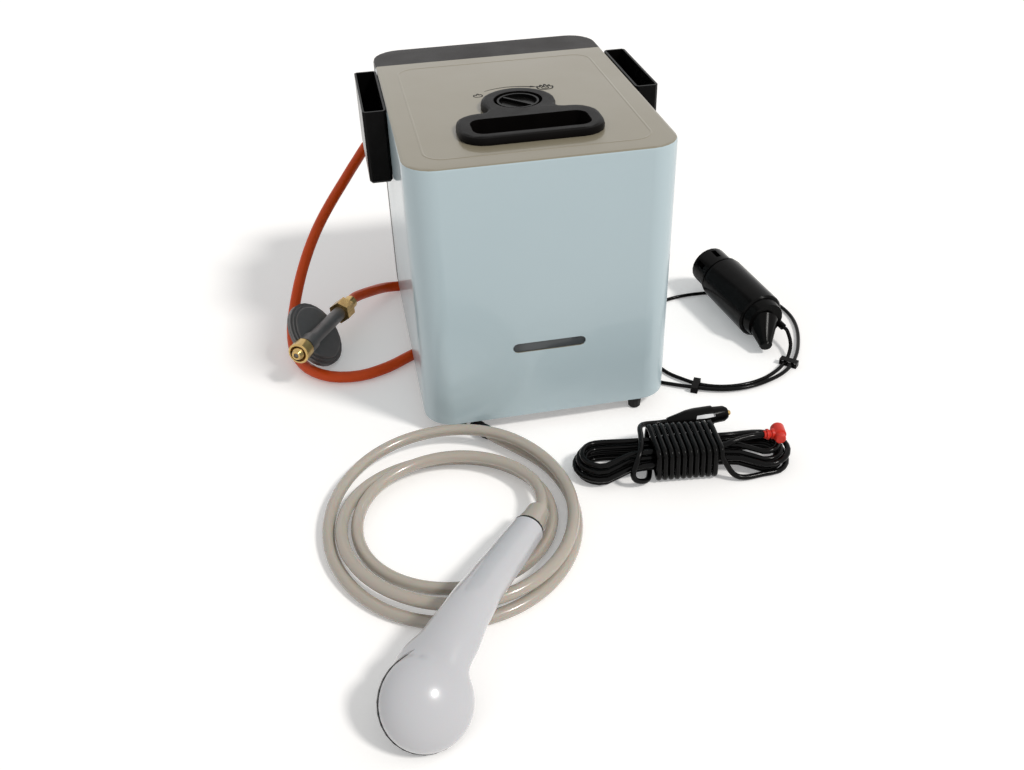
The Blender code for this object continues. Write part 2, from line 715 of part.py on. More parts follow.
def make_handle_and_knob():
    bezel = slab(
        "handle_bezel", handle_outline(), TOP + GAP, RIM_TOP, "charcoal_plastic", top_round=RIM_ROUND
    )
    well_floor = RIM_TOP - WELL_DEPTH - MOULD_WALL - KNOB_HEIGHT * 0.4
    cup = slab("cup_body", recess_outline(MOULD_WALL), CUP_BOTTOM - MOULD_WALL, TOP + RIM_HEIGHT / 2)
    well = rod(
        "well_body", WELL_RADIUS + MOULD_WALL, (0, KNOB_Y, well_floor - MOULD_WALL),
        (0, KNOB_Y, TOP + RIM_HEIGHT / 2), sides=32,
    )
    join(bezel, cup, well)
    recess = slab("recess_cutter", recess_outline(0), CUP_BOTTOM, RIM_TOP + 0.01)
    bore = rod("well_cutter", WELL_RADIUS, (0, KNOB_Y, well_floor), (0, KNOB_Y, RIM_TOP + 0.01), sides=32)
    stem = rod(
        "stem_cutter", SPINDLE_RADIUS + GAP, (0, KNOB_Y, well_floor - 0.01), (0, KNOB_Y, well_floor + 0.01),
        sides=12,
    )
    cut(bezel, recess, bore, stem)

    base = well_floor + GAP - TOP
    face = RIM_TOP - 0.001 - TOP
    knob = turned(
        "control_knob",
        [(0, face - KNOB_FACE_DROP), (KNOB_RADIUS - KNOB_RING, face - KNOB_FACE_DROP),
         (KNOB_RADIUS - KNOB_RING, face), (KNOB_RADIUS, face), (KNOB_RADIUS, base), (0, base)],
        "black_plastic", at=(0, KNOB_Y, TOP), steps=24,
    )
    rib = block(
        "knob_rib", (-KNOB_RADIUS + KNOB_RING / 2, -KNOB_RIB / 2, face - KNOB_FACE_DROP - 0.001),
        (KNOB_RADIUS - KNOB_RING / 2, KNOB_RIB / 2, face - 0.0004), parent=CASE_FRAME,
    )
    rib.location = (0, KNOB_Y, TOP)
    rib.rotation_euler = (0, 0, math.radians(-48))
    join(knob, rib)
    cut(knob, rod(
        "knob_socket", SPINDLE_RADIUS + GAP, (0, KNOB_Y, well_floor - 0.01),
        (0, KNOB_Y, well_floor + KNOB_HEIGHT * 0.4), sides=16,
    ))
    rod(
        "valve_spindle", SPINDLE_RADIUS, (0, KNOB_Y, VALVE_TOP - VALVE_HEIGHT / 2),
        (0, KNOB_Y, well_floor + KNOB_HEIGHT * 0.4 - GAP), "steel_tip", sides=16,
    )


def make_burner_and_exchanger():
    h, y0, y1 = CHAMBER_HALF, CHAMBER_FRONT, CHAMBER_BACK
    chamber = block("combustion_chamber", (-h, y0, FLOOR_PLATE), (h, y1, CHAMBER_TOP), "zinc")
    inner = block(
        "chamber_inner", (-CHAMBER_INNER, y0 + CHAMBER_SHEET, FLOOR_PLATE - 0.01),
        (CHAMBER_INNER, y1 - CHAMBER_SHEET, CHAMBER_TOP + 0.01),
    )
    window = block(
        "chamber_window", (-SLOT_LENGTH / 2, y0 - 0.01, BOTTOM + SLOT_HEIGHT - SLOT_WIDTH),
        (SLOT_LENGTH / 2, y0 + 0.01, BOTTOM + SLOT_HEIGHT + SLOT_WIDTH),
    )
    cut(chamber, inner, window)
    coil_rows = [y0 + CHAMBER_DEPTH * share for share in (0.83, 0.5, 0.17)]
    for i, y in enumerate(coil_rows):
        cut(chamber, rod(
            f"coil_hole_{i}", COIL_PIPE / 2 + GAP * 2, (-h - 0.01, y, COIL_Z), (h + 0.01, y, COIL_Z), sides=12
        ))
    for x in jet_places():
        cut(chamber, rod(
            f"jet_hole_{x:.3f}", JET_RADIUS + GAP * 1.5, (x, y0 - 0.005, JET_Z),
            (x, y0 + 0.005, JET_Z), sides=8,
        ))
    for side in (-1, 1):
        cut(chamber, rod(
            f"electrode_hole_{side}", ELECTRODE_RADIUS + GAP * 1.5,
            (side * ELECTRODE_X, y0 - 0.005, BURNER_TOP + ELECTRODE_RISE),
            (side * ELECTRODE_X, y0 + 0.005, BURNER_TOP + ELECTRODE_RISE), sides=10,
        ))

    wall = CHAMBER_INNER - GAP
    tray_front, tray_back = y0 + CHAMBER_SHEET + GAP, y1 - CHAMBER_SHEET - GAP
    burner = block("burner_bars", (-wall, tray_front, BURNER_BOTTOM), (wall, tray_back, BURNER_TOP), "zinc")
    pitch = 2 * wall / BURNER_BARS
    for i in range(1, BURNER_BARS):
        x = -wall + i * pitch
        cut(burner, block(
            f"burner_gap_{i}", (x - pitch * 0.2, tray_front + 0.012, BURNER_BOTTOM - 0.01),
            (x + pitch * 0.2, tray_back - 0.012, BURNER_TOP + 0.01),
        ))

    fins = block(
        "heat_exchanger_fins", (-wall, tray_front, FIN_BOTTOM), (wall, tray_back, CHAMBER_TOP), "copper"
    )
    for i, y in enumerate(coil_rows):
        cut(fins, rod(
            f"fin_bore_{i}", COIL_PIPE / 2 + GAP * 2, (-h - 0.01, y, COIL_Z), (h + 0.01, y, COIL_Z), sides=12
        ))
    step = 2 * wall / FIN_COUNT
    clear = COIL_PIPE / 2 + FIN_WEB
    edges = [tray_front + FIN_WEB] + [e for y in reversed(coil_rows) for e in (y - clear, y + clear)]
    edges.append(tray_back - FIN_WEB)
    for i in range(1, FIN_COUNT):
        x = -wall + i * step
        for j, (low, high) in enumerate(zip(edges[::2], edges[1::2])):
            cut(fins, block(
                f"fin_gap_{i}_{j}", (x - FIN_GAP / 2, low, FIN_BOTTOM - 0.01),
                (x + FIN_GAP / 2, high, CHAMBER_TOP + 0.01),
            ))
    coil_ends = make_water_coil(coil_rows)

    hood_low = CHAMBER_TOP + GAP
    hood = block("flue_hood", (-h, y0, hood_low), (h, SEAM, HOOD_TOP), "zinc")
    join(hood, block(
        "flue_body", (-h, FLUE_START, hood_low + 0.0005), (h, SEAM - 0.0005, CHAMBER_TOP + FLUE_HEIGHT)
    ))
    t = CHAMBER_SHEET
    cut(
        hood,
        block("hood_inner", (-h + t, y0 + t, hood_low - 0.01), (h - t, y1 - t, HOOD_TOP - t)),
        block("hood_duct", (-h + t, y1 - 0.02, hood_low + t), (h - t, SEAM + 0.01, HOOD_TOP - t)),
        block(
            "flue_inner", (-h + t, FLUE_START + t, hood_low + t + 0.001),
            (h - t, SEAM + 0.01, CHAMBER_TOP + FLUE_HEIGHT - t),
        ),
    )

    manifold = rod(
        "burner_manifold", MANIFOLD_RADIUS, (-wall, MANIFOLD_Y, JET_Z), (wall, MANIFOLD_Y, JET_Z), "brass",
        sides=18,
    )
    for x in jet_places():
        join(manifold, rod(
            f"jet_{x:.3f}", JET_RADIUS, (x, MANIFOLD_Y + 0.001, JET_Z), (x, tray_front - GAP, JET_Z), sides=8
        ))
    for side, name in ((-1, "ignition_electrode"), (1, "flame_sensor")):
        z = BURNER_TOP + ELECTRODE_RISE
        x = side * ELECTRODE_X
        tip = rod(name + "_tip", 0.001, (x, y0 + 0.010, z), (x, y0 + 0.030, z - 0.006), sides=6)
        rod_obj = rod(
            name, ELECTRODE_RADIUS, (x, y0 - 0.022, z), (x, y0 + 0.014, z), "ceramic", sides=10
        )
        join(rod_obj, tip)
    return coil_ends


def jet_places():
    return [CHAMBER_INNER * share for share in (-0.72, -0.36, 0.0, 0.36, 0.72)]


def make_water_coil(rows):
    """Three passes through the fins with U bends outside the chamber walls."""
    reach = CHAMBER_HALF + 0.020
    back, middle, front = rows
    stub = COIL_Z - COIL_DROP
    points = [(-reach, back, stub), (-reach, back, COIL_Z - 0.016), (-reach + 0.004, back, COIL_Z - 0.005)]
    points += [(-reach + 0.014, back, COIL_Z), (0, back, COIL_Z), (reach - 0.014, back, COIL_Z)]
    points += u_bend(reach, back, middle, 1)
    points += [(reach - 0.014, middle, COIL_Z), (0, middle, COIL_Z), (-reach + 0.014, middle, COIL_Z)]
    points += u_bend(reach, middle, front, -1)
    points += [(-reach + 0.014, front, COIL_Z), (0, front, COIL_Z), (reach - 0.014, front, COIL_Z)]
    points += [(reach - 0.004, front, COIL_Z - 0.005), (reach, front, COIL_Z - 0.016), (reach, front, stub)]
    tube("water_coil", points, COIL_PIPE, "copper", resolution=2)
    return points[0], points[-1]


def u_bend(reach, y0, y1, side):
    middle, radius = (y0 + y1) / 2, abs(y0 - y1) / 2
    squash = 0.020 / radius
    turns = [math.radians(a) for a in (60, 30, 0, -30, -60)]
    return [
        (side * (reach - 0.012 + radius * squash * math.cos(a)), middle + radius * math.sin(a), COIL_Z)
        for a in turns
    ]


def make_gas_train():
    x, y, z = GAS_PORT_X, BACK, GAS_PORT_Z
    fitting = rod(
        "gas_inlet_fitting", GAS_FITTING_RADIUS, (x, BACK - 0.012, z), (x, FITTING_END, z), "brass", sides=14
    )
    join(fitting, rod("gas_nut", 0.013, (x, BACK + GAP, z), (x, BACK + 0.008, z), sides=6))
    join(fitting, rod("gas_back_nut", 0.012, (x, BACK - 0.010, z), (x, BACK - SHEET - GAP, z), sides=6))
    valve = block(
        "gas_valve", (-VALVE_HALF, KNOB_Y - VALVE_HALF, HOOD_TOP + GAP),
        (VALVE_HALF, KNOB_Y + VALVE_HALF, VALVE_TOP), "cast_zinc",
    )
    cut(valve, rod(
        "spindle_bore", SPINDLE_RADIUS + GAP, (0, KNOB_Y, VALVE_TOP - VALVE_HEIGHT / 2 - GAP),
        (0, KNOB_Y, VALVE_TOP + 0.01), sides=16,
    ))
    side = CHAMBER_HALF + 0.033
    near = BACK - 0.0123
    inlet = [
        (x, near, z), (x, near - 0.030, z), (x - 0.006, near - 0.050, z + 0.004),
        (-side, SEAM - 0.060, z + 0.015), (-side, 0.040, VALVE_PIPE_Z - 0.015),
        (-side + 0.004, KNOB_Y + 0.012, VALVE_PIPE_Z - 0.002), (-side + 0.020, KNOB_Y, VALVE_PIPE_Z),
        (-VALVE_HALF - 0.030, KNOB_Y, VALVE_PIPE_Z), (-VALVE_HALF - GAP, KNOB_Y, VALVE_PIPE_Z),
    ]
    tube("gas_inlet_pipe", smooth_route(inlet, GAS_PIPE * 3), GAS_PIPE, "copper", resolution=2)
    wall = CHAMBER_INNER - GAP
    right = wall + 0.022
    feed = [
        (VALVE_HALF + GAP, KNOB_Y, VALVE_PIPE_Z), (VALVE_HALF + 0.030, KNOB_Y, VALVE_PIPE_Z),
        (right - 0.010, KNOB_Y - 0.022, VALVE_PIPE_Z - 0.004),
        (right, MANIFOLD_Y - 0.004, VALVE_PIPE_Z - 0.030),
        (right, MANIFOLD_Y, VALVE_PIPE_Z - 0.100), (right, MANIFOLD_Y, JET_Z + 0.020),
        (right - 0.004, MANIFOLD_Y, JET_Z + 0.004), (wall + GAP + 0.010, MANIFOLD_Y, JET_Z),
        (wall + GAP, MANIFOLD_Y, JET_Z),
    ]
    tube("burner_pipe", smooth_route(feed, GAS_PIPE * 3), GAS_PIPE, "copper", resolution=2)


def make_connections(coil_ends):
    """The rear panel with its water fittings and sockets, and the pipes behind them."""
    panel = block(
        "connection_panel", (-PANEL_HALF, PANEL_INNER, BOTTOM + PANEL_BOTTOM),
        (PANEL_HALF, PANEL_FACE, BOTTOM + PANEL_BOTTOM + PANEL_HEIGHT), "black_plastic",
    )
    ports = (
        ("water_inlet_fitting", WATER_IN_X, WATER_FITTING_RADIUS, WATER_BORE, FITTING_END, "brass"),
        ("water_outlet_fitting", WATER_OUT_X, WATER_FITTING_RADIUS, WATER_BORE, FITTING_END, "brass"),
        ("lead_socket", LEAD_SOCKET_X, SOCKET_RADIUS, SOCKET_BORE, BACK + 0.003, "black_plastic"),
        ("pump_socket", PUMP_SOCKET_X, SOCKET_RADIUS, SOCKET_BORE, BACK + 0.003, "black_plastic"),
    )
    for name, x, radius, bore, end, finish in ports:
        cut(panel, rod(
            name + "_hole", radius + 2 * GAP, (x, PANEL_INNER - 0.005, PORT_Z),
            (x, PANEL_FACE + 0.005, PORT_Z), sides=14,
        ))
        body = rod(name, radius, (x, FLANGE_IN, PORT_Z), (x, end, PORT_Z), finish, sides=14)
        join(body, rod(
            name + "_flange", radius + 0.003, (x, PANEL_FACE + GAP, PORT_Z),
            (x, PANEL_FACE + 0.0045, PORT_Z), sides=6,
        ))
        join(body, rod(
            name + "_lock", radius + 0.003, (x, FLANGE_IN + 0.001, PORT_Z),
            (x, PANEL_INNER - GAP, PORT_Z), sides=6,
        ))
        depth = FLANGE_IN + 0.004
        cut(body, rod(name + "_bore", bore, (x, depth, PORT_Z), (x, end + 0.005, PORT_Z), sides=12))

    sensor_back = FLANGE_IN - GAP
    sensor_front = sensor_back - FLOW_SENSOR_LENGTH
    sensor = rod(
        "flow_sensor", FLOW_SENSOR_RADIUS, (WATER_IN_X, sensor_front, PORT_Z),
        (WATER_IN_X, sensor_back, PORT_Z), "black_plastic",
    )
    join(sensor, block(
        "sensor_head", (WATER_IN_X - 0.009, sensor_front + 0.008, PORT_Z),
        (WATER_IN_X + 0.009, sensor_back - 0.006, PORT_Z + 0.020),
    ))
    left, right = Vector(coil_ends[0]), Vector(coil_ends[1])
    behind = CHAMBER_BACK + 0.022
    cold = [
        (WATER_IN_X, sensor_front - GAP, PORT_Z), (WATER_IN_X, sensor_front - 0.018, PORT_Z),
        (WATER_IN_X - 0.018, behind + 0.006, PORT_Z), (left.x + 0.012, behind, PORT_Z + 0.003),
        (left.x, behind - 0.020, PORT_Z + 0.012), (left.x, left.y + 0.004, PORT_Z + 0.035),
        (left.x, left.y, left.z - 0.020), (left.x, left.y, left.z - GAP),
    ]
    tube("water_inlet_pipe", smooth_route(cold, COIL_PIPE * 2.2), COIL_PIPE, "copper", resolution=2)
    hot = [
        (WATER_OUT_X, FLANGE_IN - GAP, PORT_Z), (WATER_OUT_X, FLANGE_IN - 0.018, PORT_Z),
        (WATER_OUT_X + 0.022, behind + 0.030, PORT_Z), (right.x - 0.020, behind + 0.008, PORT_Z),
        (right.x, behind - 0.020, PORT_Z), (right.x, right.y + 0.050, PORT_Z),
        (right.x, right.y + 0.012, PORT_Z + 0.010), (right.x, right.y, PORT_Z + 0.034),
        (right.x, right.y, right.z - 0.020), (right.x, right.y, right.z - GAP),
    ]
    tube("water_outlet_pipe", smooth_route(hot, COIL_PIPE * 2.2), COIL_PIPE, "copper", resolution=2)

    width, depth, height = MODULE_SIZE
    low = BOTTOM + MODULE_LIFT
    module = block(
        "ignition_module", (INNER_HALF - width, MODULE_Y, low), (INNER_HALF, MODULE_Y + depth, low + height),
        "black_plastic",
    )
    join(module, block(
        "module_plug", (INNER_HALF - width * 0.8, MODULE_Y + 0.020, low - 0.008),
        (INNER_HALF - width * 0.2, MODULE_Y + 0.050, low + 0.004),
    ))
    width, depth, height = TILT_SIZE
    block(
        "tilt_switch", (INNER_HALF - 0.004 - width, TILT_Y, FLOOR_PLATE),
        (INNER_HALF - 0.004, TILT_Y + depth, FLOOR_PLATE + height), "black_plastic",
    )


def sub_frame(name, at, pitch, lean, heading):
    """An empty whose local Y runs along a piece that lies on the floor."""
    frame = bpy.data.objects.new(name, None)
    bpy.context.scene.collection.objects.link(frame)
    frame.parent = CASE_FRAME
    frame.rotation_mode = "YXZ"
    frame.location = at
    frame.rotation_euler = [math.radians(a) for a in (pitch, lean, heading)]
    return frame


def make_regulator():
    frame = sub_frame("regulator_frame", REGULATOR_AT, REGULATOR_PITCH, REGULATOR_LEAN, REGULATOR_HEADING)
    r, flange, rise = DISC_RADIUS, DISC_FLANGE, TUBE_RISE
    body = turned(
        "regulator_body",
        [(0, 0.0078), (r - 0.009, 0.0078), (r - 0.007, 0.0068), (r - 0.0065, 0.0048), (r - 0.0035, 0.0048),
         (r - 0.003, flange), (r, flange), (r, GAP), (0, GAP)],
        "cast_zinc", frame, steps=26,
    )
    pieces = (
        rod("regulator_tube", TUBE_RADIUS, (0, -TUBE_INLET, rise), (0, TUBE_OUTLET, rise), parent=frame),
        rod(
            "inlet_boss", TUBE_RADIUS * 1.3, (0, -TUBE_INLET + 0.002, rise), (0, -TUBE_INLET + 0.018, rise),
            parent=frame, sides=12,
        ),
        block(
            "tube_rib", (-TUBE_RADIUS * 0.8, -r * 0.85, 0.003), (TUBE_RADIUS * 0.8, r * 0.85, rise),
            parent=frame,
        ),
        rod(
            "inlet_spigot", SPIGOT_RADIUS, (0, -TUBE_INLET - SPIGOT_LENGTH, rise),
            (0, -TUBE_INLET + 0.004, rise),
            parent=frame,
        ),
    )
    join(body, *pieces)
    turned(
        "regulator_cover",
        [(0, 0), (r, 0), (r, -flange), (r - 0.005, -flange - 0.001), (r - 0.011, -0.0105), (0, -0.0105)],
        "cast_zinc", frame, steps=32,
    )
    mouth = -TUBE_INLET - GAP - INLET_NUT_LENGTH
    inner = INLET_NUT_RADIUS - INLET_NUT_WALL
    turned(
        "regulator_inlet_nut",
        [(SPIGOT_RADIUS + 2 * GAP, 0), (INLET_NUT_RADIUS - 0.0015, 0), (INLET_NUT_RADIUS, -0.0015),
         (INLET_NUT_RADIUS, -INLET_NUT_LENGTH + 0.001), (INLET_NUT_RADIUS - 0.001, -INLET_NUT_LENGTH),
         (inner, -INLET_NUT_LENGTH), (inner, -0.003), (SPIGOT_RADIUS + 2 * GAP, -0.003),
         (SPIGOT_RADIUS + 2 * GAP, 0)],
        "brass", frame, at=(0, mouth + INLET_NUT_LENGTH, rise), axis=Y_AXIS, steps=16,
    )
    nut_end = TUBE_OUTLET + GAP + OUTLET_NUT_LENGTH
    rod(
        "regulator_outlet_nut", OUTLET_NUT_RADIUS, (0, TUBE_OUTLET + GAP, rise), (0, nut_end, rise), "brass",
        frame, 6,
    )
    ferrule_end = nut_end + GAP + FERRULE_LENGTH
    rod("hose_ferrule", FERRULE_RADIUS, (0, nut_end + GAP, rise), (0, ferrule_end, rise), "brass", frame, 16)
    bpy.context.view_layer.update()
    local = frame.matrix_basis
    start = local @ Vector((0, ferrule_end + GAP, rise))
    along = (local.to_3x3() @ Y_AXIS).normalized()
    print("inlet nut axis point", tuple(local @ Vector((0, mouth, rise))), "axis", tuple(along))
    return start, along


def make_gas_hose(start, along):
    """From the rear gas inlet, down under the regulator and the case, and back to the ferrule."""
    inlet = (GAS_PORT_X, FITTING_END + GAP, GAS_PORT_Z)
    floor = HOSE_DIAMETER / 2 + 0.0002
    route = [
        inlet, (GAS_PORT_X, FITTING_END + 0.018, GAS_PORT_Z), (-0.104, 0.2720, 0.1940),
        (-0.1245, 0.2735, 0.1900), (-0.1445, 0.2640, 0.1810),
        (-0.1617, 0.2486, 0.1680), (-0.1935, 0.2132, 0.1411),
        (-0.2232, 0.1770, 0.1145), (-0.2455, 0.1419, 0.0876),
        (-0.2618, 0.1100, 0.0594), (-0.2725, 0.0800, 0.0335),
        (-0.2765, 0.0530, 0.0175), (-0.2705, 0.0240, 0.0082),
        (-0.2560, -0.0030, floor), (-0.2390, -0.0180, floor),
        (-0.2217, -0.0256, floor), (-0.2003, -0.0272, floor),
        (-0.1783, -0.0218, floor), (-0.1554, -0.0110, floor),
        (-0.1300, 0.0060, floor), (-0.0900, 0.0260, floor), (-0.0450, 0.0430, floor), (0.0050, 0.0660, floor),
        (0.0480, 0.1000, floor), (0.0680, 0.1480, floor), (0.0560, 0.2000, floor), (0.0180, 0.2340, floor),
        (-0.0300, 0.2360, floor), (-0.0640, 0.2100, floor),
        (-0.0830, 0.1830, floor), (-0.1030, 0.1710, floor),
        (-0.1190, 0.1740, floor), (-0.1355, 0.1770, floor),
        (-0.1500, 0.1690, 0.0105), (-0.1625, 0.1550, 0.0180),
        (-0.1787, 0.1310, 0.0265), start + along * 0.016, start,
    ]
    points = smooth_route(route, HOSE_DIAMETER * 2.7)
    tube("gas_hose", points, HOSE_DIAMETER, "orange_hose", resolution=2)
    print(f"gas_hose length {path_length(points):.4f} in {len(points)} points")


def make_pump():
    frame = sub_frame("pump_frame", PUMP_AT, PUMP_PITCH, 0, PUMP_HEADING)
    r, length = PUMP_RADIUS, PUMP_LENGTH
    base = -PUMP_BASE_LENGTH
    body = turned(
        "pump_body",
        [(0, length), (r - 0.003, length), (r, length - 0.003), (r, 0.002), (r - 0.002, 0),
         (PUMP_BASE_RADIUS, 0), (PUMP_BASE_RADIUS - 0.002, base), (0, base)],
        "black_plastic", frame, axis=Y_AXIS, steps=24,
    )
    neck = rod(
        "pump_neck", PUMP_BASE_RADIUS - 0.006, (-0.002, base + 0.004, -0.003), (-0.0145, -0.040, -0.0150),
        parent=frame, end_radius=0.0065, sides=14,
    )
    barb = rod(
        "pump_barb", 0.0078, (-0.0115, -0.033, -0.0125), (-0.0137, -0.038, -0.0143), parent=frame, sides=12
    )
    gland_at = Vector((0.0185, base, -0.006))
    gland_end = gland_at + Vector((0.002, -0.009, -0.002))
    gland = rod(
        "pump_gland", GLAND_RADIUS, gland_at + Vector((0, 0.004, 0)), gland_end, parent=frame, sides=12
    )
    join(body, neck, barb, gland)
    bore = r - PUMP_WALL
    cut(body, rod("pump_bore", bore, (0, PUMP_FLOOR, 0), (0, length + 0.01, 0), parent=frame, sides=24))
    motor_end = PUMP_FLOOR + GAP + MOTOR_LENGTH
    motor = rod(
        "pump_motor", bore - GAP, (0, PUMP_FLOOR + GAP, 0), (0, motor_end, 0), "zinc", frame, 24
    )
    shaft_end = motor_end + IMPELLER_LENGTH
    join(motor, rod(
        "motor_shaft", 0.0015, (0, motor_end - 0.004, 0), (0, shaft_end, 0), parent=frame, sides=10
    ))
    impeller_start = motor_end + GAP
    impeller = turned(
        "pump_impeller",
        [(0.0018, IMPELLER_LENGTH), (0.005, IMPELLER_LENGTH), (0.005, 0.002), (IMPELLER_RADIUS, 0.002),
         (IMPELLER_RADIUS, 0), (0.0018, 0), (0.0018, IMPELLER_LENGTH)],
        "white_plastic", frame, at=(0, impeller_start, 0), axis=Y_AXIS, steps=14,
    )
    for i in range(4):
        vane = block(
            f"vane_{i}", (0.004, -0.0008, 0.001), (IMPELLER_RADIUS - 0.001, 0.0008, IMPELLER_LENGTH - 0.002),
            parent=frame,
        )
        vane.location = (0, impeller_start, 0)
        vane.rotation_euler = (-math.pi / 2, 0, 0)
        vane.rotation_mode = "XYZ"
        vane.matrix_basis = (
            Matrix.Translation((0, impeller_start, 0)) @ impeller.rotation_euler.to_matrix().to_4x4()
            @ Matrix.Rotation(math.tau * i / 4, 4, "Z")
        )
        join(impeller, vane)
    inner = CAP_RADIUS - CAP_WALL
    cap = turned(
        "pump_cap",
        [(0, CAP_LENGTH), (CAP_RADIUS - 0.004, CAP_LENGTH), (CAP_RADIUS, CAP_LENGTH - 0.004),
         (CAP_RADIUS, CAP_FLANGE), (PUMP_RADIUS - 0.001, CAP_FLANGE), (PUMP_RADIUS - 0.001, 0),
         (PUMP_RADIUS - PUMP_WALL - GAP, 0), (PUMP_RADIUS - PUMP_WALL - GAP, -CAP_SKIRT), (inner, -CAP_SKIRT),
         (inner, CAP_LENGTH - CAP_WALL), (0, CAP_LENGTH - CAP_WALL)],
        "black_plastic", frame, at=(0, length + GAP, 0), axis=Y_AXIS, steps=24,
    )
    for i in range(CAP_SLOTS):
        slot = block(
            f"cap_slot_{i}", (inner - 0.003, -CAP_SLOT_WIDTH / 2, 0.012),
            (CAP_RADIUS + 0.003, CAP_SLOT_WIDTH / 2, CAP_LENGTH - 0.009), parent=frame,
        )
        slot.matrix_basis = (
            Matrix.Translation((0, length + GAP, 0)) @ cap.rotation_euler.to_matrix().to_4x4()
            @ Matrix.Rotation(math.tau * (i + 0.5) / CAP_SLOTS, 4, "Z")
        )
        cut(cap, slot)
    bpy.context.view_layer.update()
    local = frame.matrix_basis
    along = (local.to_3x3() @ Y_AXIS).normalized()
    print("pump cap axis point", tuple(local @ Vector((0, length, 0))), "axis", tuple(along))
    print("pump impeller point", tuple(local @ Vector((0, impeller_start, 0))))
    toward = (local.to_3x3() @ (gland_end - gland_at)).normalized()
    return local @ gland_end + toward * GAP, toward


def make_pump_lead(start, toward):
    """The pump's own lead, coiled one and a half turns on the floor and plugged in at the back."""
    low = PUMP_LEAD / 2 + 0.0001
    tied = TIE_WALL + GAP + PUMP_LEAD / 2 + 0.0002
    plug_y = BACK + 0.003 + GAP + 0.016 + GAP
    route = [
        start, start + toward * 0.007, (0.311, -0.087, 0.0115), (0.306, -0.097, 0.0055),
        (0.2955, -0.1095, tied), (0.283, -0.1215, tied), (0.265, -0.1335, tied), (0.245, -0.1410, tied),
        (0.223, -0.1435, tied), (0.200, -0.1400, tied), (0.1785, -0.1290, tied), (0.163, -0.1130, tied),
        (0.151, -0.0930, low), (0.145, -0.0650, low), (0.146, -0.0250, low), (0.157, 0.0180, low),
        (0.178, 0.0470, low), (0.205, 0.0610, low), (0.230, 0.0660, low), (0.256, 0.0660, low),
        (0.285, 0.0610, low), (0.316, 0.0470, low), (0.336, 0.0240, low), (0.344, -0.0060, low),
        (0.341, -0.0380, low), (0.330, -0.0690, low), (0.316, -0.0960, tied), (0.301, -0.1165, tied),
        (0.285, -0.1305, tied), (0.266, -0.1400, tied), (0.245, -0.1468, tied), (0.222, -0.1492, tied),
        (0.198, -0.1457, tied), (0.1745, -0.1360, tied), (0.159, -0.1270, tied), (0.142, -0.1170, low),
        (0.128, -0.1020, low), (0.120, -0.0750, low), (0.1165, -0.0300, low), (0.1165, 0.0400, low),
        (0.118, 0.1100, low), (0.1215, 0.1650, low), (0.125, 0.2000, low), (0.124, 0.2350, low),
        (0.116, 0.2620, 0.006), (0.101, 0.2780, 0.018), (0.085, 0.2790, 0.037),
        (PUMP_SOCKET_X + 0.003, 0.2690, PORT_Z - 0.006), (PUMP_SOCKET_X, plug_y + 0.012, PORT_Z),
        (PUMP_SOCKET_X, plug_y, PORT_Z),
    ]
    points = smooth_route(route, path_length(route) / 70)
    tube("pump_lead", points, PUMP_LEAD, "black_pvc", resolution=2)
    print(f"pump_lead length {path_length(points):.4f} in {len(points)} points")
    plug_start = BACK + 0.003 + GAP
    plug = rod(
        "pump_plug", 0.0065, (PUMP_SOCKET_X, plug_start, PORT_Z), (PUMP_SOCKET_X, plug_y - GAP, PORT_Z),
        "black_plastic", sides=16,
    )
    join(plug, rod(
        "pump_plug_pin", SOCKET_BORE - GAP, (PUMP_SOCKET_X, FLANGE_IN + 0.006, PORT_Z),
        (PUMP_SOCKET_X, plug_start + 0.004, PORT_Z), sides=14,
    ))
    make_tie("lead_tie_1", (0.2984, -0.1130), -45, 0.021)
    make_tie("lead_tie_2", (0.1765, -0.1325), 60, 0.021)


def make_tie(name, at, angle, length):
    """A flat cable tie lying across two runs of the lead."""
    height = 2 * TIE_WALL + 2 * GAP + PUMP_LEAD + 0.0006
    across = length / 2
    tie = block(name, (-across, -TIE_WIDTH / 2, 0), (across, TIE_WIDTH / 2, height), "black_plastic")
    gap = block(
        name + "_eye", (-across + TIE_WALL, -TIE_WIDTH, TIE_WALL),
        (across - TIE_WALL, TIE_WIDTH, height - TIE_WALL),
    )
    cut(tie, gap)
    for obj in (tie, gap):
        obj.location = (*at, 0.0001)
        obj.rotation_euler = (0, 0, math.radians(angle))


def ease(share):
    """A smooth step from 0 to 1."""
    share = min(1.0, max(0.0, share))
    return share * share * (3 - 2 * share)


def hank_point(turn):
    """A point of the hank's loops in its own frame, counted in turns from the first loop."""
    layer, within = divmod(turn, HANK_TURNS)
    offset = HANK_STEP * (within if int(layer) % 2 else HANK_TURNS - within)
    height = LEAD / 2 + LEAD + WRAP_CLEAR + (HANK_LAYERS - 1) * HANK_LAYER
    for change in range(1, HANK_LAYERS):
        height -= HANK_LAYER * ease((turn - change * HANK_TURNS) / 0.5 + 0.5)
    angle = math.tau * (turn + 0.25)
    run = HANK_HALF - HANK_END - HANK_TURNS * HANK_STEP
    end, side = math.cos(angle), -math.sin(angle)
    reach = min(1.0, 1.35 * abs(end))
    spread = ease((reach - 0.55) / 0.45)
    half = HANK_WAIST + (HANK_END - HANK_WAIST) * spread + offset
    cap = max(0.0, (abs(end) - 1 / 1.35) / (1 - 1 / 1.35))
    along = math.copysign(run * reach + half * cap, end)
    across = math.copysign(half * math.sqrt(max(0.0, 1 - cap**2)), side)
    sag = LEAD + WRAP_CLEAR - 0.0001
    return Vector((along, across, height - sag * spread))


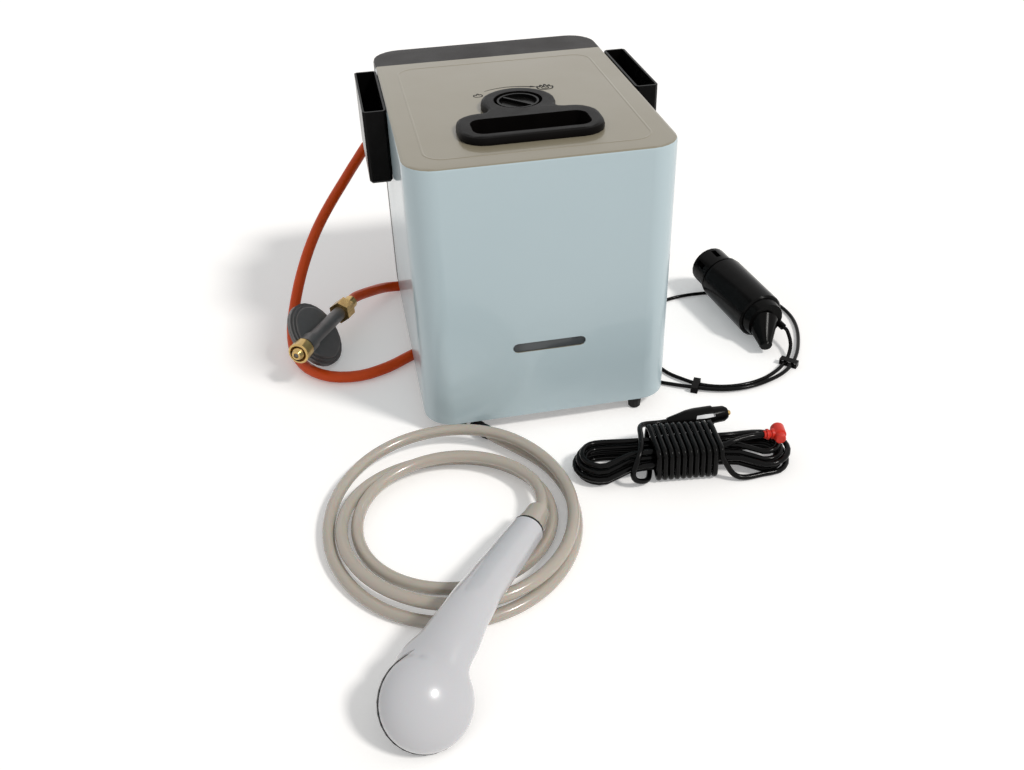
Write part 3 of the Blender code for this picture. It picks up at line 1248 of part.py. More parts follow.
def wrap_ring():
    """One wrap's section: front side up, over the top to the back, down and under."""
    low = LEAD / 2 + LEAD + WRAP_CLEAR
    high = low + (HANK_LAYERS - 1) * HANK_LAYER
    half = HANK_WAIST + HANK_TURNS * HANK_STEP
    bend = LEAD + WRAP_CLEAR
    corners = ((-half, high, 180), (half, high, 90), (half, low, 0), (-half, low, -90))
    ring = []
    for y, z, angle in corners:
        ring += [
            (y + bend * math.cos(math.radians(angle - a)), z + bend * math.sin(math.radians(angle - a)))
            for a in (0, 45, 90)
        ]
        following = corners[(corners.index((y, z, angle)) + 1) % 4]
        last = ring[-1]
        turn = math.radians(following[2])
        goal = (following[0] + bend * math.cos(turn), following[1] + bend * math.sin(turn))
        ring.append(((last[0] + goal[0]) / 2, (last[1] + goal[1]) / 2))
    return ring


def make_lead_hank():
    """The lead from its red plug through the loops and the wraps to its car plug, one unbroken tube."""
    frame = sub_frame("hank_frame", (*HANK_AT, 0), 0, 0, HANK_HEADING)
    first, last = HANK_SKIP, HANK_TURNS * HANK_LAYERS - 3 / 24
    count = round((last - first) * LOOP_POINTS)
    loops = [hank_point(first + (last - first) * i / count) for i in range(count + 1)]
    ring = wrap_ring()
    perimeter = path_length([(0, *p) for p in ring + ring[:1]])
    wraps = []
    travelled = 0.0
    start_u = WRAP_COUNT * WRAP_PITCH / 2
    for i in range(WRAP_COUNT * len(ring) - 4):
        here = ring[i % len(ring)]
        wraps.append(Vector((start_u - WRAP_PITCH * travelled / perimeter, *here)))
        following = ring[(i + 1) % len(ring)]
        travelled += math.dist(here, following)
    top = loops[0].z
    head_z = top + 0.0045
    lead_in = smooth_route(
        [(0.083, -0.002, head_z), (0.073, -0.0028, head_z), (0.058, -0.0065, head_z + 0.0003),
         (0.046, -0.0104, top + 0.0038), (0.038, -0.0112, top + 0.0010), loops[0], loops[1]], LEAD * 1.2,
    )[:-2]
    low = LEAD / 2 + 0.0001
    climb = smooth_route(
        [loops[-2], loops[-1], (0.060, -0.0305, low + 0.0006), (0.051, -0.0300, low + 0.0025),
         (0.0450, -0.0285, 0.0110),
         (0.0408, -0.0272, 0.0180), (0.0373, -0.0260, 0.0245), wraps[0], wraps[1]], LEAD * 1.2,
    )[2:-2]
    end_u = wraps[-1].x
    plug_tail = Vector(((frame.matrix_basis.inverted() @ Vector((*CAR_PLUG_AT, CAR_PLUG_Z)))))
    toward = (frame.matrix_basis.to_3x3().inverted() @ X_AXIS).normalized()
    tail = smooth_route(
        [wraps[-2], wraps[-1], (end_u - 0.0016, -0.0100, low), (end_u - 0.0042, -0.0195, 0.0032),
         (end_u - 0.0090, -0.0265, 0.0050),
         (end_u - 0.0160, -0.0298, 0.0082), (end_u - 0.0220, -0.0308, 0.0135),
         (end_u - 0.0222, -0.0293, 0.0205),
         (end_u - 0.0180, -0.0245, 0.0285), (end_u - 0.0130, -0.0140, 0.0360), (end_u - 0.0100, 0.0, 0.0380),
         (end_u - 0.0085, 0.0130, 0.0372), (end_u - 0.0065, 0.0240, 0.0345), (end_u - 0.0010, 0.0330, 0.0308),
         plug_tail - toward * 0.009, plug_tail], LEAD * 1.2,
    )[2:]
    points = lead_in + loops + climb + wraps + tail
    tube("lead_hank", points, LEAD, "black_pvc", frame, resolution=1)
    print(f"lead_hank length {path_length(points):.4f} in {len(points)} points")
    print(f"lead_hank least gap to itself {least_gap(points, LEAD) * 1000:.2f} mm")

    body = turned(
        "lead_plug_body",
        [(0, 0.066), (PLUG_TIP_RADIUS + GAP, 0.066), (PLUG_TIP_RADIUS + 0.0018, 0.066),
         (PLUG_RADIUS * 0.80, 0.062), (PLUG_RADIUS * 0.86, 0.050), (PLUG_RADIUS, 0.049), (PLUG_RADIUS, 0.030),
         (PLUG_RADIUS * 0.9, 0.021), (PLUG_RADIUS * 0.72, 0.014), (0.0044, 0.001), (0.0040, 0), (0, 0)],
        "black_plastic", at=(CAR_PLUG_AT[0] + GAP, CAR_PLUG_AT[1], CAR_PLUG_Z), axis=X_AXIS, steps=16,
    )
    x = CAR_PLUG_AT[0] + GAP
    y, z = CAR_PLUG_AT[1], CAR_PLUG_Z
    cut(body, rod(
        "plug_bore", PLUG_TIP_RADIUS + GAP, (x + 0.050, y, z), (x + 0.070, y, z), sides=16
    ))
    turned(
        "lead_plug_tip",
        [(0, 0.0125), (0.0022, 0.0118), (0.0034, 0.0095), (0.0034, 0.007), (PLUG_TIP_RADIUS, 0.006),
         (PLUG_TIP_RADIUS, 0), (0, 0)],
        "brass", at=(x + 0.050 + PLUG_TIP_TRAVEL + GAP + 0.005, y, z), axis=X_AXIS, steps=16,
    )

    head_at = Vector((0.099, -0.0015, head_z))
    relief_start = Vector((0.083, -0.002, head_z))
    along = (head_at - relief_start).normalized()
    reach = (head_at - relief_start).length
    ribs = [(0, reach + 0.001), (0.0050, reach + 0.001), (0.0050, 0.0125)]
    for i in (1, 0):
        base = 0.0020 + i * 0.0052
        ribs += [(0.0056, base + 0.0026), (0.0056, base + 0.0006), (0.0042, base), (0.0042, base - 0.0010)]
    ribs += [(0.0040, 0), (0, 0)]
    red = turned("red_plug", ribs, "red_plastic", frame, at=relief_start + along * GAP, axis=along, steps=12)
    nose = Vector((-0.08, -1.0, 0)).normalized()
    top_at = head_at - nose * 0.0105
    head = turned(
        "red_head",
        [(0, 0.0215), (0.0045, 0.0215), (0.0055, 0.0205), (0.0055, 0.0150), (0.0072, 0.0140),
         (0.0072, 0.0020),
         (0.0058, 0), (0, 0)],
        None, frame, at=top_at, axis=nose, steps=16,
    )
    join(red, head)


def least_gap(points, diameter):
    """The least clear distance between stretches of one tube that aren't neighbours."""
    fine = []
    lengths = []
    travelled = 0.0
    for a, b in zip(points, points[1:]):
        a, b = Vector(a), Vector(b)
        steps = max(1, round((b - a).length / 0.0015))
        for i in range(steps):
            fine.append(a.lerp(b, i / steps))
            lengths.append(travelled + (b - a).length * i / steps)
        travelled += (b - a).length
    tree = KDTree(len(fine))
    for i, p in enumerate(fine):
        tree.insert(p, i)
    tree.balance()
    least = 1.0
    for i, p in enumerate(fine):
        for _, j, distance in tree.find_range(p, diameter * 1.4):
            if abs(lengths[i] - lengths[j]) > diameter * 3.0:
                least = min(least, distance)
    return least - diameter


def coil_point(turn):
    """A point of the shower hose's coil, clockwise from above, counted in turns."""
    radii = ((0.0, 0.124), (1.25, 0.120), (1.95, 0.097), (2.3, 0.095), (2.7, 0.0885), (3.3, 0.088))
    low = SHOWER_HOSE / 2 + 0.0001
    heights = (
        (0.0, low), (0.5, low), (0.95, low + COIL_LAYER), (1.5, low + COIL_LAYER), (1.95, low), (2.5, low),
        (2.95, low + COIL_LAYER), (3.4, low + COIL_LAYER),
    )
    radius, z = stepped(radii, turn), stepped(heights, turn)
    z += COIL_BUMP * math.exp(-(((turn - 1.0) / 0.07) ** 2))
    wide = (radius - 0.088) / 0.036
    angle = math.radians(COIL_START_ANGLE) - math.tau * turn
    x = COIL_AT[0] + radius * (1.034 - 0.062 * wide) * math.cos(angle)
    y = COIL_AT[1] + radius * (0.932 + 0.124 * wide) * math.sin(angle)
    return Vector((x, y, z))


def stepped(knots, at):
    """A value eased from one knot to the next."""
    for (t0, v0), (t1, v1) in zip(knots, knots[1:]):
        if at <= t1:
            return v0 + (v1 - v0) * ease((at - t0) / (t1 - t0))
    return knots[-1][1]


def make_shower():
    """The hose from its connector under the case, through the coil, to the handset."""
    heading = Vector((0.574, -0.819, 0.0)).normalized()
    end = Vector((-0.0705, -0.1722, CONNECTOR_RADIUS + 0.0004))
    connector = rod(
        "hose_connector", CONNECTOR_RADIUS * 0.93, end - heading * (CONNECTOR_LENGTH), end - heading * GAP,
        "charcoal_plastic", sides=14,
    )
    for share in (0.80, 0.40):
        a = end - heading * CONNECTOR_LENGTH * share
        join(connector, rod(
            f"connector_rib_{share}", CONNECTOR_RADIUS, a, a + heading * CONNECTOR_LENGTH * 0.22, sides=14
        ))
    start = [end, end + heading * 0.012]
    first = 0.055
    count = round((3.10 - first) * LOOP_POINTS)
    coil = [coil_point(first + (3.10 - first) * i / count) for i in range(count + 1)]
    nut_start = Vector(NUT_AT)
    axis = Vector(HANDSET_AXIS).normalized()
    lead_out = smooth_route(
        [coil[-2], coil[-1], (-0.0405, -0.2960, 0.0222), (-0.0425, -0.3080, 0.0244),
         nut_start - axis * 0.008, nut_start],
        0.012,
    )[2:]
    points = start + coil + lead_out
    tube("shower_hose", points, SHOWER_HOSE, "milky_hose", resolution=1)
    print(f"shower_hose length {path_length(points):.4f} in {len(points)} points")
    print(f"shower_hose least gap to itself {least_gap(points, SHOWER_HOSE) * 1000:.2f} mm")

    nut = rod(
        "handset_nut", NUT_END_RADIUS, nut_start + axis * GAP, nut_start + axis * NUT_LENGTH, "milky_hose",
        sides=24, end_radius=NUT_RADIUS,
    )
    for i in range(8):
        turn = math.tau * i / 8
        across = axis.cross(Z_AXIS).normalized()
        up = across.cross(axis)
        out = across * math.cos(turn) + up * math.sin(turn)
        flute = rod(
            f"nut_flute_{i}", 0.0011, nut_start + axis * 0.007 + out * (NUT_END_RADIUS + 0.0019),
            nut_start + axis * (NUT_LENGTH + 0.004) + out * (NUT_RADIUS + 0.0009), sides=8,
        )
        cut(nut, flute)
    ring_start = nut_start + axis * (NUT_LENGTH + GAP)
    rod(
        "handset_ring", SECTIONS[0][1], ring_start, ring_start + axis * SEAL_LENGTH, "rubber", sides=24
    )
    make_handset(ring_start + axis * (SEAL_LENGTH + GAP), axis)
    print("handset nut axis point", tuple(nut_start), "axis", tuple(axis))


def make_handset(start, axis):
    """The hand shower: a handle lofted into a dome, cut flat where the spray plate sits."""
    out = Vector(FACE_NORMAL).normalized()
    drop = FACE_RADIUS * math.sqrt(1 - out.z**2) + 0.0001
    face = Vector((*HEAD_AT, drop))
    bm = bmesh.new()
    rings = []
    centres = [start] + [Vector(section[0]) for section in SECTIONS[1:]]
    for i, centre in enumerate(centres):
        ahead = axis if i == 0 else (centres[min(i + 1, len(centres) - 1)] - centres[i - 1]).normalized()
        across = ahead.cross(Z_AXIS).normalized()
        up = across.cross(ahead)
        _, wide, high = SECTIONS[i]
        angles = [math.tau * j / SECTION_POINTS for j in range(SECTION_POINTS)]
        rings.append([
            bm.verts.new(centre + across * wide * math.cos(a) + up * high * math.sin(a)) for a in angles
        ])
    for before, after in zip(rings, rings[1:]):
        for j in range(SECTION_POINTS):
            k = (j + 1) % SECTION_POINTS
            bm.faces.new((before[j], before[k], after[k], after[j]))
    bm.faces.new(rings[0][::-1])
    bm.faces.new(rings[-1])
    body = place("handset_body", to_mesh("handset_body", bm), "white_plastic")
    seat = face - out * (PLATE_THICK + GAP)
    turn = out.to_track_quat("Z", "Y").to_matrix().to_4x4()
    ball = bmesh.new()
    bmesh.ops.create_uvsphere(ball, u_segments=28, v_segments=14, radius=1.0)
    bmesh.ops.scale(ball, vec=(FACE_RADIUS - GAP, FACE_RADIUS - GAP, DOME_HEIGHT), verts=ball.verts)
    bmesh.ops.transform(ball, matrix=Matrix.Translation(seat + out * 0.0005) @ turn, verts=ball.verts)
    join(body, place("handset_dome", to_mesh("handset_dome", ball), None))
    cut(body, rod(
        "face_cutter", FACE_RADIUS + HEAD_CUT_GAP, seat, seat + out * HEAD_CUT_DEPTH, sides=36,
        end_radius=HEAD_CUT_END,
    ))
    turned(
        "spray_plate",
        [(0, PLATE_THICK), (FACE_RADIUS - 0.006, PLATE_THICK), (FACE_RADIUS - 0.0055, PLATE_THICK - 0.0008),
         (FACE_RADIUS - FACE_RIM, PLATE_THICK - 0.0008), (FACE_RADIUS - FACE_RIM + 0.001, PLATE_THICK),
         (FACE_RADIUS, PLATE_THICK), (FACE_RADIUS, 0), (0, 0)],
        "black_plastic", at=seat + out * GAP, axis=out, steps=28,
    )


def settle():
    """Put the origin in the middle of the floor area of everything but the free cords."""
    bpy.context.view_layer.update()
    graph = bpy.context.evaluated_depsgraph_get()
    corners = []
    for obj in PARTS.objects:
        if obj.name in FREE:
            continue
        shape = obj.evaluated_get(graph)
        mesh = shape.to_mesh()
        corners += [shape.matrix_world @ v.co for v in mesh.vertices]
        shape.to_mesh_clear()
    low = [min(c[i] for c in corners) for i in range(3)]
    high = [max(c[i] for c in corners) for i in range(3)]
    CASE_FRAME.location = (-(low[0] + high[0]) / 2, -(low[1] + high[1]) / 2, -low[2])
    bpy.context.view_layer.update()
    print("case frame at", tuple(round(v, 6) for v in CASE_FRAME.location))
    print("size", tuple(round(h - l, 4) for l, h in zip(low, high)))


make_case()
make_handle_and_knob()
coil_ends = make_burner_and_exchanger()
make_gas_train()
make_connections(coil_ends)
hose_end, hose_heading = make_regulator()
make_gas_hose(hose_end, hose_heading)
gland_end, gland_heading = make_pump()
make_pump_lead(gland_end, gland_heading)
make_lead_hank()
make_shower()
settle()
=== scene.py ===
"""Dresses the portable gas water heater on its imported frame: cords, skins, finishes, lamps and camera.

Lengths are in metres and angles in degrees.
"""
import json
import logging
import math
from collections.abc import Callable
from dataclasses import dataclass
from enum import Enum

import bmesh
import bpy
from mathutils import Euler, Matrix, Vector


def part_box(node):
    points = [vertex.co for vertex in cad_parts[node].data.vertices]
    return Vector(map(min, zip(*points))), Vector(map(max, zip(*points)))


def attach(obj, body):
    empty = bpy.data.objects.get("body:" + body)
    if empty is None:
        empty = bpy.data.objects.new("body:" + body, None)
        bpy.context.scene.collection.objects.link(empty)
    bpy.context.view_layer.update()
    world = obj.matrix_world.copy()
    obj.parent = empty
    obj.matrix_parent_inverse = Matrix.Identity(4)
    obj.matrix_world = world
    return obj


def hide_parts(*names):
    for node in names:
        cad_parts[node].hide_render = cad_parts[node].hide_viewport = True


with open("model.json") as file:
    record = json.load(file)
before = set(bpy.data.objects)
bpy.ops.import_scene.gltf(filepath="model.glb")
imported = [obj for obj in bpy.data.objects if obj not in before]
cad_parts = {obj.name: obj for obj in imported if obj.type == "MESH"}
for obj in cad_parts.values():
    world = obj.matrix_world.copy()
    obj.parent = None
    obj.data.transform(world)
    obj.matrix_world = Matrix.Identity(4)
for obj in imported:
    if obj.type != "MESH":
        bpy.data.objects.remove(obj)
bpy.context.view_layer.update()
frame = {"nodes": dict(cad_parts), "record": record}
LOG = logging.getLogger("heater")
ROOT_BODY = "heater_set"
UP = Vector((0, 0, 1))
RIGHT = Vector((1, 0, 0))
WHITE = (1.0, 1.0, 1.0, 1.0)
TOUCH = 0.0003  # the gap that touching CAD meshes keep, in metres
OFF_FLOOR = 0.0001  # the least room between a piece that lies down and the floor

BMesh = bmesh.types.BMesh
Material = bpy.types.Material
Mesh = bpy.types.Mesh
Node = bpy.types.Node
Pair = tuple[float, float]
Piece = bpy.types.Object
Tree = bpy.types.NodeTree
Triple = tuple[float, float, float]

# The case's own origin is on the floor under the middle of its top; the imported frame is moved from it.
SHELL_LOW, SHELL_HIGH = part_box("outer_shell")
CASE_FRONT = -0.158
CASE_BACK = 0.218
CASE_TOP = 0.308
DATUM = Vector(((SHELL_LOW[0] + SHELL_HIGH[0]) / 2, SHELL_LOW[1] - CASE_FRONT, 0.0))


def at_case(point: Triple | Vector) -> Vector:
    """Moves a point from the case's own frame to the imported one.

    Args:
        point: A point measured from the case's origin, in metres.

    Returns:
        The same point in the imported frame.
    """
    return Vector(point) + DATUM


class Wiring:
    """Short ways to fill node trees."""

    @staticmethod
    def group(name: str, family: str, inputs: dict, outputs: dict) -> tuple[Tree, Node, Node]:
        """Makes an empty group with named sockets.

        Args:
            name: The group's name.
            family: The tree's type.
            inputs: Each input's name and kind.
            outputs: Each output's name and kind.

        Returns:
            The tree, its input node and its output node.
        """
        tree = bpy.data.node_groups.new(name, family)
        for side, sockets in (("INPUT", inputs), ("OUTPUT", outputs)):
            for label, kind in sockets.items():
                tree.interface.new_socket(label, in_out=side, socket_type=f"NodeSocket{kind}")
        return tree, tree.nodes.new("NodeGroupInput"), tree.nodes.new("NodeGroupOutput")

    @staticmethod
    def fill(node: Node, values: dict) -> None:
        """Gives a node's inputs their plain values, by the inputs' names or places."""
        for socket, value in values.items():
            node.inputs[socket].default_value = value

    @staticmethod
    def add(tree: Tree, kind: str, values: dict | None = None, **settings: object) -> Node:
        """Adds a node.

        Args:
            tree: The tree that gets it.
            kind: Its type.
            values: Plain values for its inputs.
            settings: Its own settings.

        Returns:
            The node.
        """
        node = tree.nodes.new(kind)
        for name, value in settings.items():
            setattr(node, name, value)
        Wiring.fill(node, values or {})
        return node

    @staticmethod
    def join(tree: Tree, *links: tuple) -> None:
        """Links nodes, each pair told as a node and its output, then a node and its input."""
        for start, outlet, end, inlet in links:
            tree.links.new(start.outputs[outlet], end.inputs[inlet])


class Effects:
    """Shader node groups that more than one finish uses."""

    @staticmethod
    def mottle() -> Tree:
        """Slow changes of tone across a surface.

        Returns:
            A group from Color, Tint, Vector, Scale and Amount to Color and Value.
        """
        if "surface_mottle" in bpy.data.node_groups:
            return bpy.data.node_groups["surface_mottle"]
        tree, entry, leave = Wiring.group(
            "surface_mottle", "ShaderNodeTree",
            {"Color": "Color", "Tint": "Color", "Vector": "Vector", "Scale": "Float", "Amount": "Float"},
            {"Color": "Color", "Value": "Float"},
        )
        noise = Wiring.add(tree, "ShaderNodeTexNoise", {"Detail": 5.0})
        ramp = Wiring.add(tree, "ShaderNodeMapRange", {"From Min": 0.35, "From Max": 0.65})
        share = Wiring.add(tree, "ShaderNodeMath", operation="MULTIPLY")
        mix = Wiring.add(tree, "ShaderNodeMix", data_type="RGBA")
        Wiring.join(
            tree, (entry, "Vector", noise, "Vector"), (entry, "Scale", noise, "Scale"),
            (noise, "Fac", ramp, "Value"), (ramp, "Result", share, 0), (entry, "Amount", share, 1),
            (share, 0, mix, "Factor"), (entry, "Color", mix, "A"), (entry, "Tint", mix, "B"),
            (mix, "Result", leave, "Color"), (ramp, "Result", leave, "Value"),
        )
        return tree

    @staticmethod
    def relief() -> Tree:
        """Fine grain for the Height of a Bump node.

        Returns:
            A group from Vector and Scale to Height.
        """
        if "fine_relief" in bpy.data.node_groups:
            return bpy.data.node_groups["fine_relief"]
        tree, entry, leave = Wiring.group(
            "fine_relief", "ShaderNodeTree", {"Vector": "Vector", "Scale": "Float"}, {"Height": "Float"}
        )
        fine = Wiring.add(tree, "ShaderNodeTexNoise", {"Detail": 3.0})
        cell = Wiring.add(tree, "ShaderNodeTexVoronoi", feature="SMOOTH_F1")
        blend = Wiring.add(tree, "ShaderNodeMath", {1: 0.5}, operation="MULTIPLY_ADD")
        for texture in (fine, cell):
            Wiring.join(tree, (entry, "Vector", texture, "Vector"), (entry, "Scale", texture, "Scale"))
        Wiring.join(
            tree, (cell, "Distance", blend, 0), (fine, "Fac", blend, 2), (blend, 0, leave, "Height")
        )
        return tree

    @staticmethod
    def dust() -> Tree:
        """Pale dust that settles on faces that look up.

        Returns:
            A group from Color, Roughness, Vector and Amount to Color and Roughness.
        """
        if "settled_dust" in bpy.data.node_groups:
            return bpy.data.node_groups["settled_dust"]
        tree, entry, leave = Wiring.group(
            "settled_dust", "ShaderNodeTree",
            {"Color": "Color", "Roughness": "Float", "Vector": "Vector", "Amount": "Float"},
            {"Color": "Color", "Roughness": "Float"},
        )
        shape = Wiring.add(tree, "ShaderNodeNewGeometry")
        split = Wiring.add(tree, "ShaderNodeSeparateXYZ")
        upward = Wiring.add(tree, "ShaderNodeMapRange", {"From Min": 0.3})
        noise = Wiring.add(tree, "ShaderNodeTexNoise", {"Scale": 55.0, "Detail": 6.0})
        patchy = Wiring.add(tree, "ShaderNodeMath", operation="MULTIPLY")
        share = Wiring.add(tree, "ShaderNodeMath", operation="MULTIPLY")
        mix = Wiring.add(tree, "ShaderNodeMix", {"B": (0.34, 0.32, 0.29, 1.0)}, data_type="RGBA")
        rough = Wiring.add(tree, "ShaderNodeMath", {1: 0.25}, operation="MULTIPLY_ADD")
        Wiring.join(
            tree, (shape, "Normal", split, "Vector"), (split, "Z", upward, "Value"),
            (entry, "Vector", noise, "Vector"), (upward, "Result", patchy, 0), (noise, "Fac", patchy, 1),
            (patchy, 0, share, 0), (entry, "Amount", share, 1), (share, 0, mix, "Factor"),
            (entry, "Color", mix, "A"), (share, 0, rough, 0), (entry, "Roughness", rough, 2),
            (mix, "Result", leave, "Color"), (rough, 0, leave, "Roughness"),
        )
        return tree


SCATTER_REACH = 0.004  # how far light spreads under a surface, in metres
GRAIN_DEPTH = 0.0006
GLOSS_SPREAD = (0.88, 1.12)


@dataclass(frozen=True)
class Finish:
    """One finish: its colours, gloss and surface detail, and for some a painted reflection on faces that
    look up.
    """

    title: str
    colour: Triple
    tint: Triple
    roughness: float
    metallic: float = 0.0
    coat: float = 0.0
    coat_roughness: float = 0.05
    transmission: float = 0.0
    subsurface: float = 0.0
    ior: float = 1.5
    specular: float = 0.5
    mottle_scale: float = 18.0
    mottle: float = 0.35
    grain_scale: float = 900.0
    grain: float = 0.05
    stretch: Triple = (1.0, 1.0, 1.0)
    dust: float = 0.06
    # painted reflection: faces that look up take this darker, warmer colour, which stands in for the
    # surroundings mirrored in the enamel
    top_colour: Triple | None = None

    def material(self) -> Material:
        """Builds the material the first time and returns the same one later.

        Returns:
            The finish's material.
        """
        if self.title in bpy.data.materials:
            return bpy.data.materials[self.title]
        made = bpy.data.materials.new(self.title)
        made.use_nodes = True
        tree = made.node_tree
        shader = tree.nodes["Principled BSDF"]
        Wiring.fill(shader, {
            "Metallic": self.metallic, "Coat Weight": self.coat, "Coat Roughness": self.coat_roughness,
            "Transmission Weight": self.transmission, "Subsurface Weight": self.subsurface,
            "Subsurface Scale": SCATTER_REACH, "IOR": self.ior, "Specular IOR Level": self.specular,
        })
        place = Wiring.add(tree, "ShaderNodeTexCoord")
        mapping = Wiring.add(tree, "ShaderNodeMapping", {"Scale": self.stretch})
        tones = {
            "Tint": (*self.tint, 1.0), "Scale": self.mottle_scale, "Amount": self.mottle,
            "Color": (*self.colour, 1.0),
        }
        mottle = Wiring.add(tree, "ShaderNodeGroup", tones, node_tree=Effects.mottle())
        dust = Wiring.add(tree, "ShaderNodeGroup", {"Amount": self.dust}, node_tree=Effects.dust())
        relief = Wiring.add(tree, "ShaderNodeGroup", {"Scale": self.grain_scale}, node_tree=Effects.relief())
        bump = Wiring.add(tree, "ShaderNodeBump", {"Strength": self.grain, "Distance": GRAIN_DEPTH})
        low, high = (min(1.0, self.roughness * share) for share in GLOSS_SPREAD)
        rough = Wiring.add(tree, "ShaderNodeMapRange", {"To Min": low, "To Max": high})
        for group in (mottle, dust, relief):
            Wiring.join(tree, (mapping, "Vector", group, "Vector"))
        # the base colour passes through the painted top reflection, where the finish has one, before the
        # dust
        Wiring.join(
            tree, (place, "Object", mapping, "Vector"), (mottle, "Value", rough, "Value"),
            (rough, "Result", dust, "Roughness"), (*self._top_tone(tree, mottle), dust, "Color"),
            (dust, "Color", shader, "Base Color"), (dust, "Roughness", shader, "Roughness"),
            (relief, "Height", bump, "Height"), (bump, "Normal", shader, "Normal"),
        )
        return made

    def _top_tone(self, tree: Tree, mottle: Node) -> tuple[Node, str]:
        """Paints a reflection on level faces where the finish has one, a darker and warmer tone than the
        sides.

        Args:
            tree: The material's tree.
            mottle: The node whose colour the other faces keep.

        Returns:
            The node that carries the colour with the painted reflection, and its output.
        """
        if self.top_colour is None:
            return mottle, "Color"
        # painted reflection: the more a face looks up, the more it takes the top colour
        shape = Wiring.add(tree, "ShaderNodeNewGeometry")
        split = Wiring.add(tree, "ShaderNodeSeparateXYZ")
        level = Wiring.add(
            tree, "ShaderNodeMapRange", {"From Min": 0.45, "From Max": 0.95}, interpolation_type="SMOOTHSTEP"
        )
        mix = Wiring.add(tree, "ShaderNodeMix", {"B": (*self.top_colour, 1.0)}, data_type="RGBA")
        Wiring.join(
            tree, (shape, "Normal", split, "Vector"), (split, "Z", level, "Value"),
            (level, "Result", mix, "Factor"), (mottle, "Color", mix, "A"),
        )
        return mix, "Result"


class Coat(Enum):
    """The finishes of the heater and its pieces, by the record's material slot."""

    enamel = Finish(
        "case_enamel", (0.475, 0.585, 0.625), (0.445, 0.555, 0.60), 0.34, coat=0.5, coat_roughness=0.06,
        mottle=0.3, mottle_scale=9.0, grain_scale=1400.0, grain=0.02, dust=0.01, specular=0.35,
        # the top is the same enamel as the front; this colour is a painted reflection, darker and warmer
        top_colour=(0.243, 0.215, 0.152),
    )
    dark_steel = Finish(
        "rear_charcoal_paint", (0.0135, 0.0115, 0.0112), (0.021, 0.018, 0.0175), 0.40, specular=0.09,
        grain_scale=1500.0, grain=0.12, dust=0.02,
    )
    charcoal_plastic = Finish(
        "bezel_charcoal_plastic", (0.0036, 0.0030, 0.0028), (0.0060, 0.0052, 0.0048), 0.36,
        grain_scale=1600.0, grain=0.12, mottle_scale=40.0, specular=0.06, dust=0.005,
    )
    black_plastic = Finish(
        "moulded_black_plastic", (0.0032, 0.0031, 0.0031), (0.0062, 0.0058, 0.0056), 0.20, specular=0.055,
        grain_scale=1200.0, dust=0.01,
    )
    rubber = Finish(
        "foot_rubber", (0.009, 0.009, 0.009), (0.016, 0.0155, 0.015), 0.62, grain_scale=800.0, grain=0.2,
        specular=0.25, dust=0.02,
    )
    glass = Finish(
        "smoked_window", (0.055, 0.064, 0.070), (0.045, 0.053, 0.060), 0.14, coat=0.4, grain=0.0, dust=0.0,
    )
    zinc = Finish(
        "zinc_plate", (0.55, 0.55, 0.54), (0.44, 0.44, 0.45), 0.36, metallic=1.0, mottle_scale=60.0,
        mottle=0.7, grain_scale=500.0, grain=0.08, stretch=(1.0, 1.0, 4.0),
    )
    copper = Finish(
        "copper_pipe", (0.72, 0.34, 0.20), (0.45, 0.20, 0.12), 0.30, metallic=1.0, mottle_scale=35.0,
        mottle=0.6, grain_scale=700.0,
    )
    brass = Finish(
        "machined_brass", (0.62, 0.43, 0.17), (0.40, 0.26, 0.10), 0.22, metallic=1.0, mottle_scale=90.0,
        mottle=0.6, grain_scale=1800.0, grain=0.08, stretch=(1.0, 1.0, 5.0), dust=0.0,
    )
    cast_zinc = Finish(
        "regulator_casting", (0.150, 0.142, 0.140), (0.115, 0.108, 0.107), 0.40, metallic=0.45,
        mottle_scale=70.0, grain_scale=1100.0, grain=0.2, specular=0.4, dust=0.02,
    )
    ceramic = Finish("white_ceramic", (0.75, 0.73, 0.68), (0.66, 0.62, 0.55), 0.35, coat=0.4)
    orange_hose = Finish(
        "orange_gas_hose", (0.70, 0.078, 0.0065), (0.58, 0.055, 0.0055), 0.36, specular=0.24,
        mottle_scale=45.0, grain=0.08, dust=0.0,
    )
    white_plastic = Finish(
        "handset_white_plastic", (0.54, 0.543, 0.567), (0.515, 0.518, 0.542), 0.24, coat=0.6, mottle=0.2,
        grain=0.01, subsurface=0.05, dust=0.0, specular=0.4,
    )
    milky_hose = Finish(
        "milky_shower_hose", (0.50, 0.452, 0.388), (0.55, 0.503, 0.438), 0.24, coat=0.35,
        coat_roughness=0.10, transmission=0.16, subsurface=0.45, ior=1.42, mottle_scale=9.0, mottle=0.3,
        grain=0.0, dust=0.0,
    )
    black_pvc = Finish(
        "black_cable_sheath", (0.0022, 0.0021, 0.0021), (0.0045, 0.0043, 0.0043), 0.15, specular=0.11,
        grain_scale=700.0, dust=0.0,
    )
    red_plastic = Finish(
        "red_plug_plastic", (0.62, 0.028, 0.014), (0.52, 0.020, 0.010), 0.34, specular=0.3,
        mottle_scale=60.0, dust=0.0,
    )
    steel_tip = Finish(
        "bright_steel", (0.66, 0.66, 0.66), (0.52, 0.52, 0.53), 0.2, metallic=1.0, mottle_scale=120.0,
        dust=0.0,
    )
    ink = Finish(
        "printed_grey_ink", (0.012, 0.011, 0.010), (0.018, 0.017, 0.015), 0.55, mottle_scale=300.0,
        specular=0.1, dust=0.0,
    )


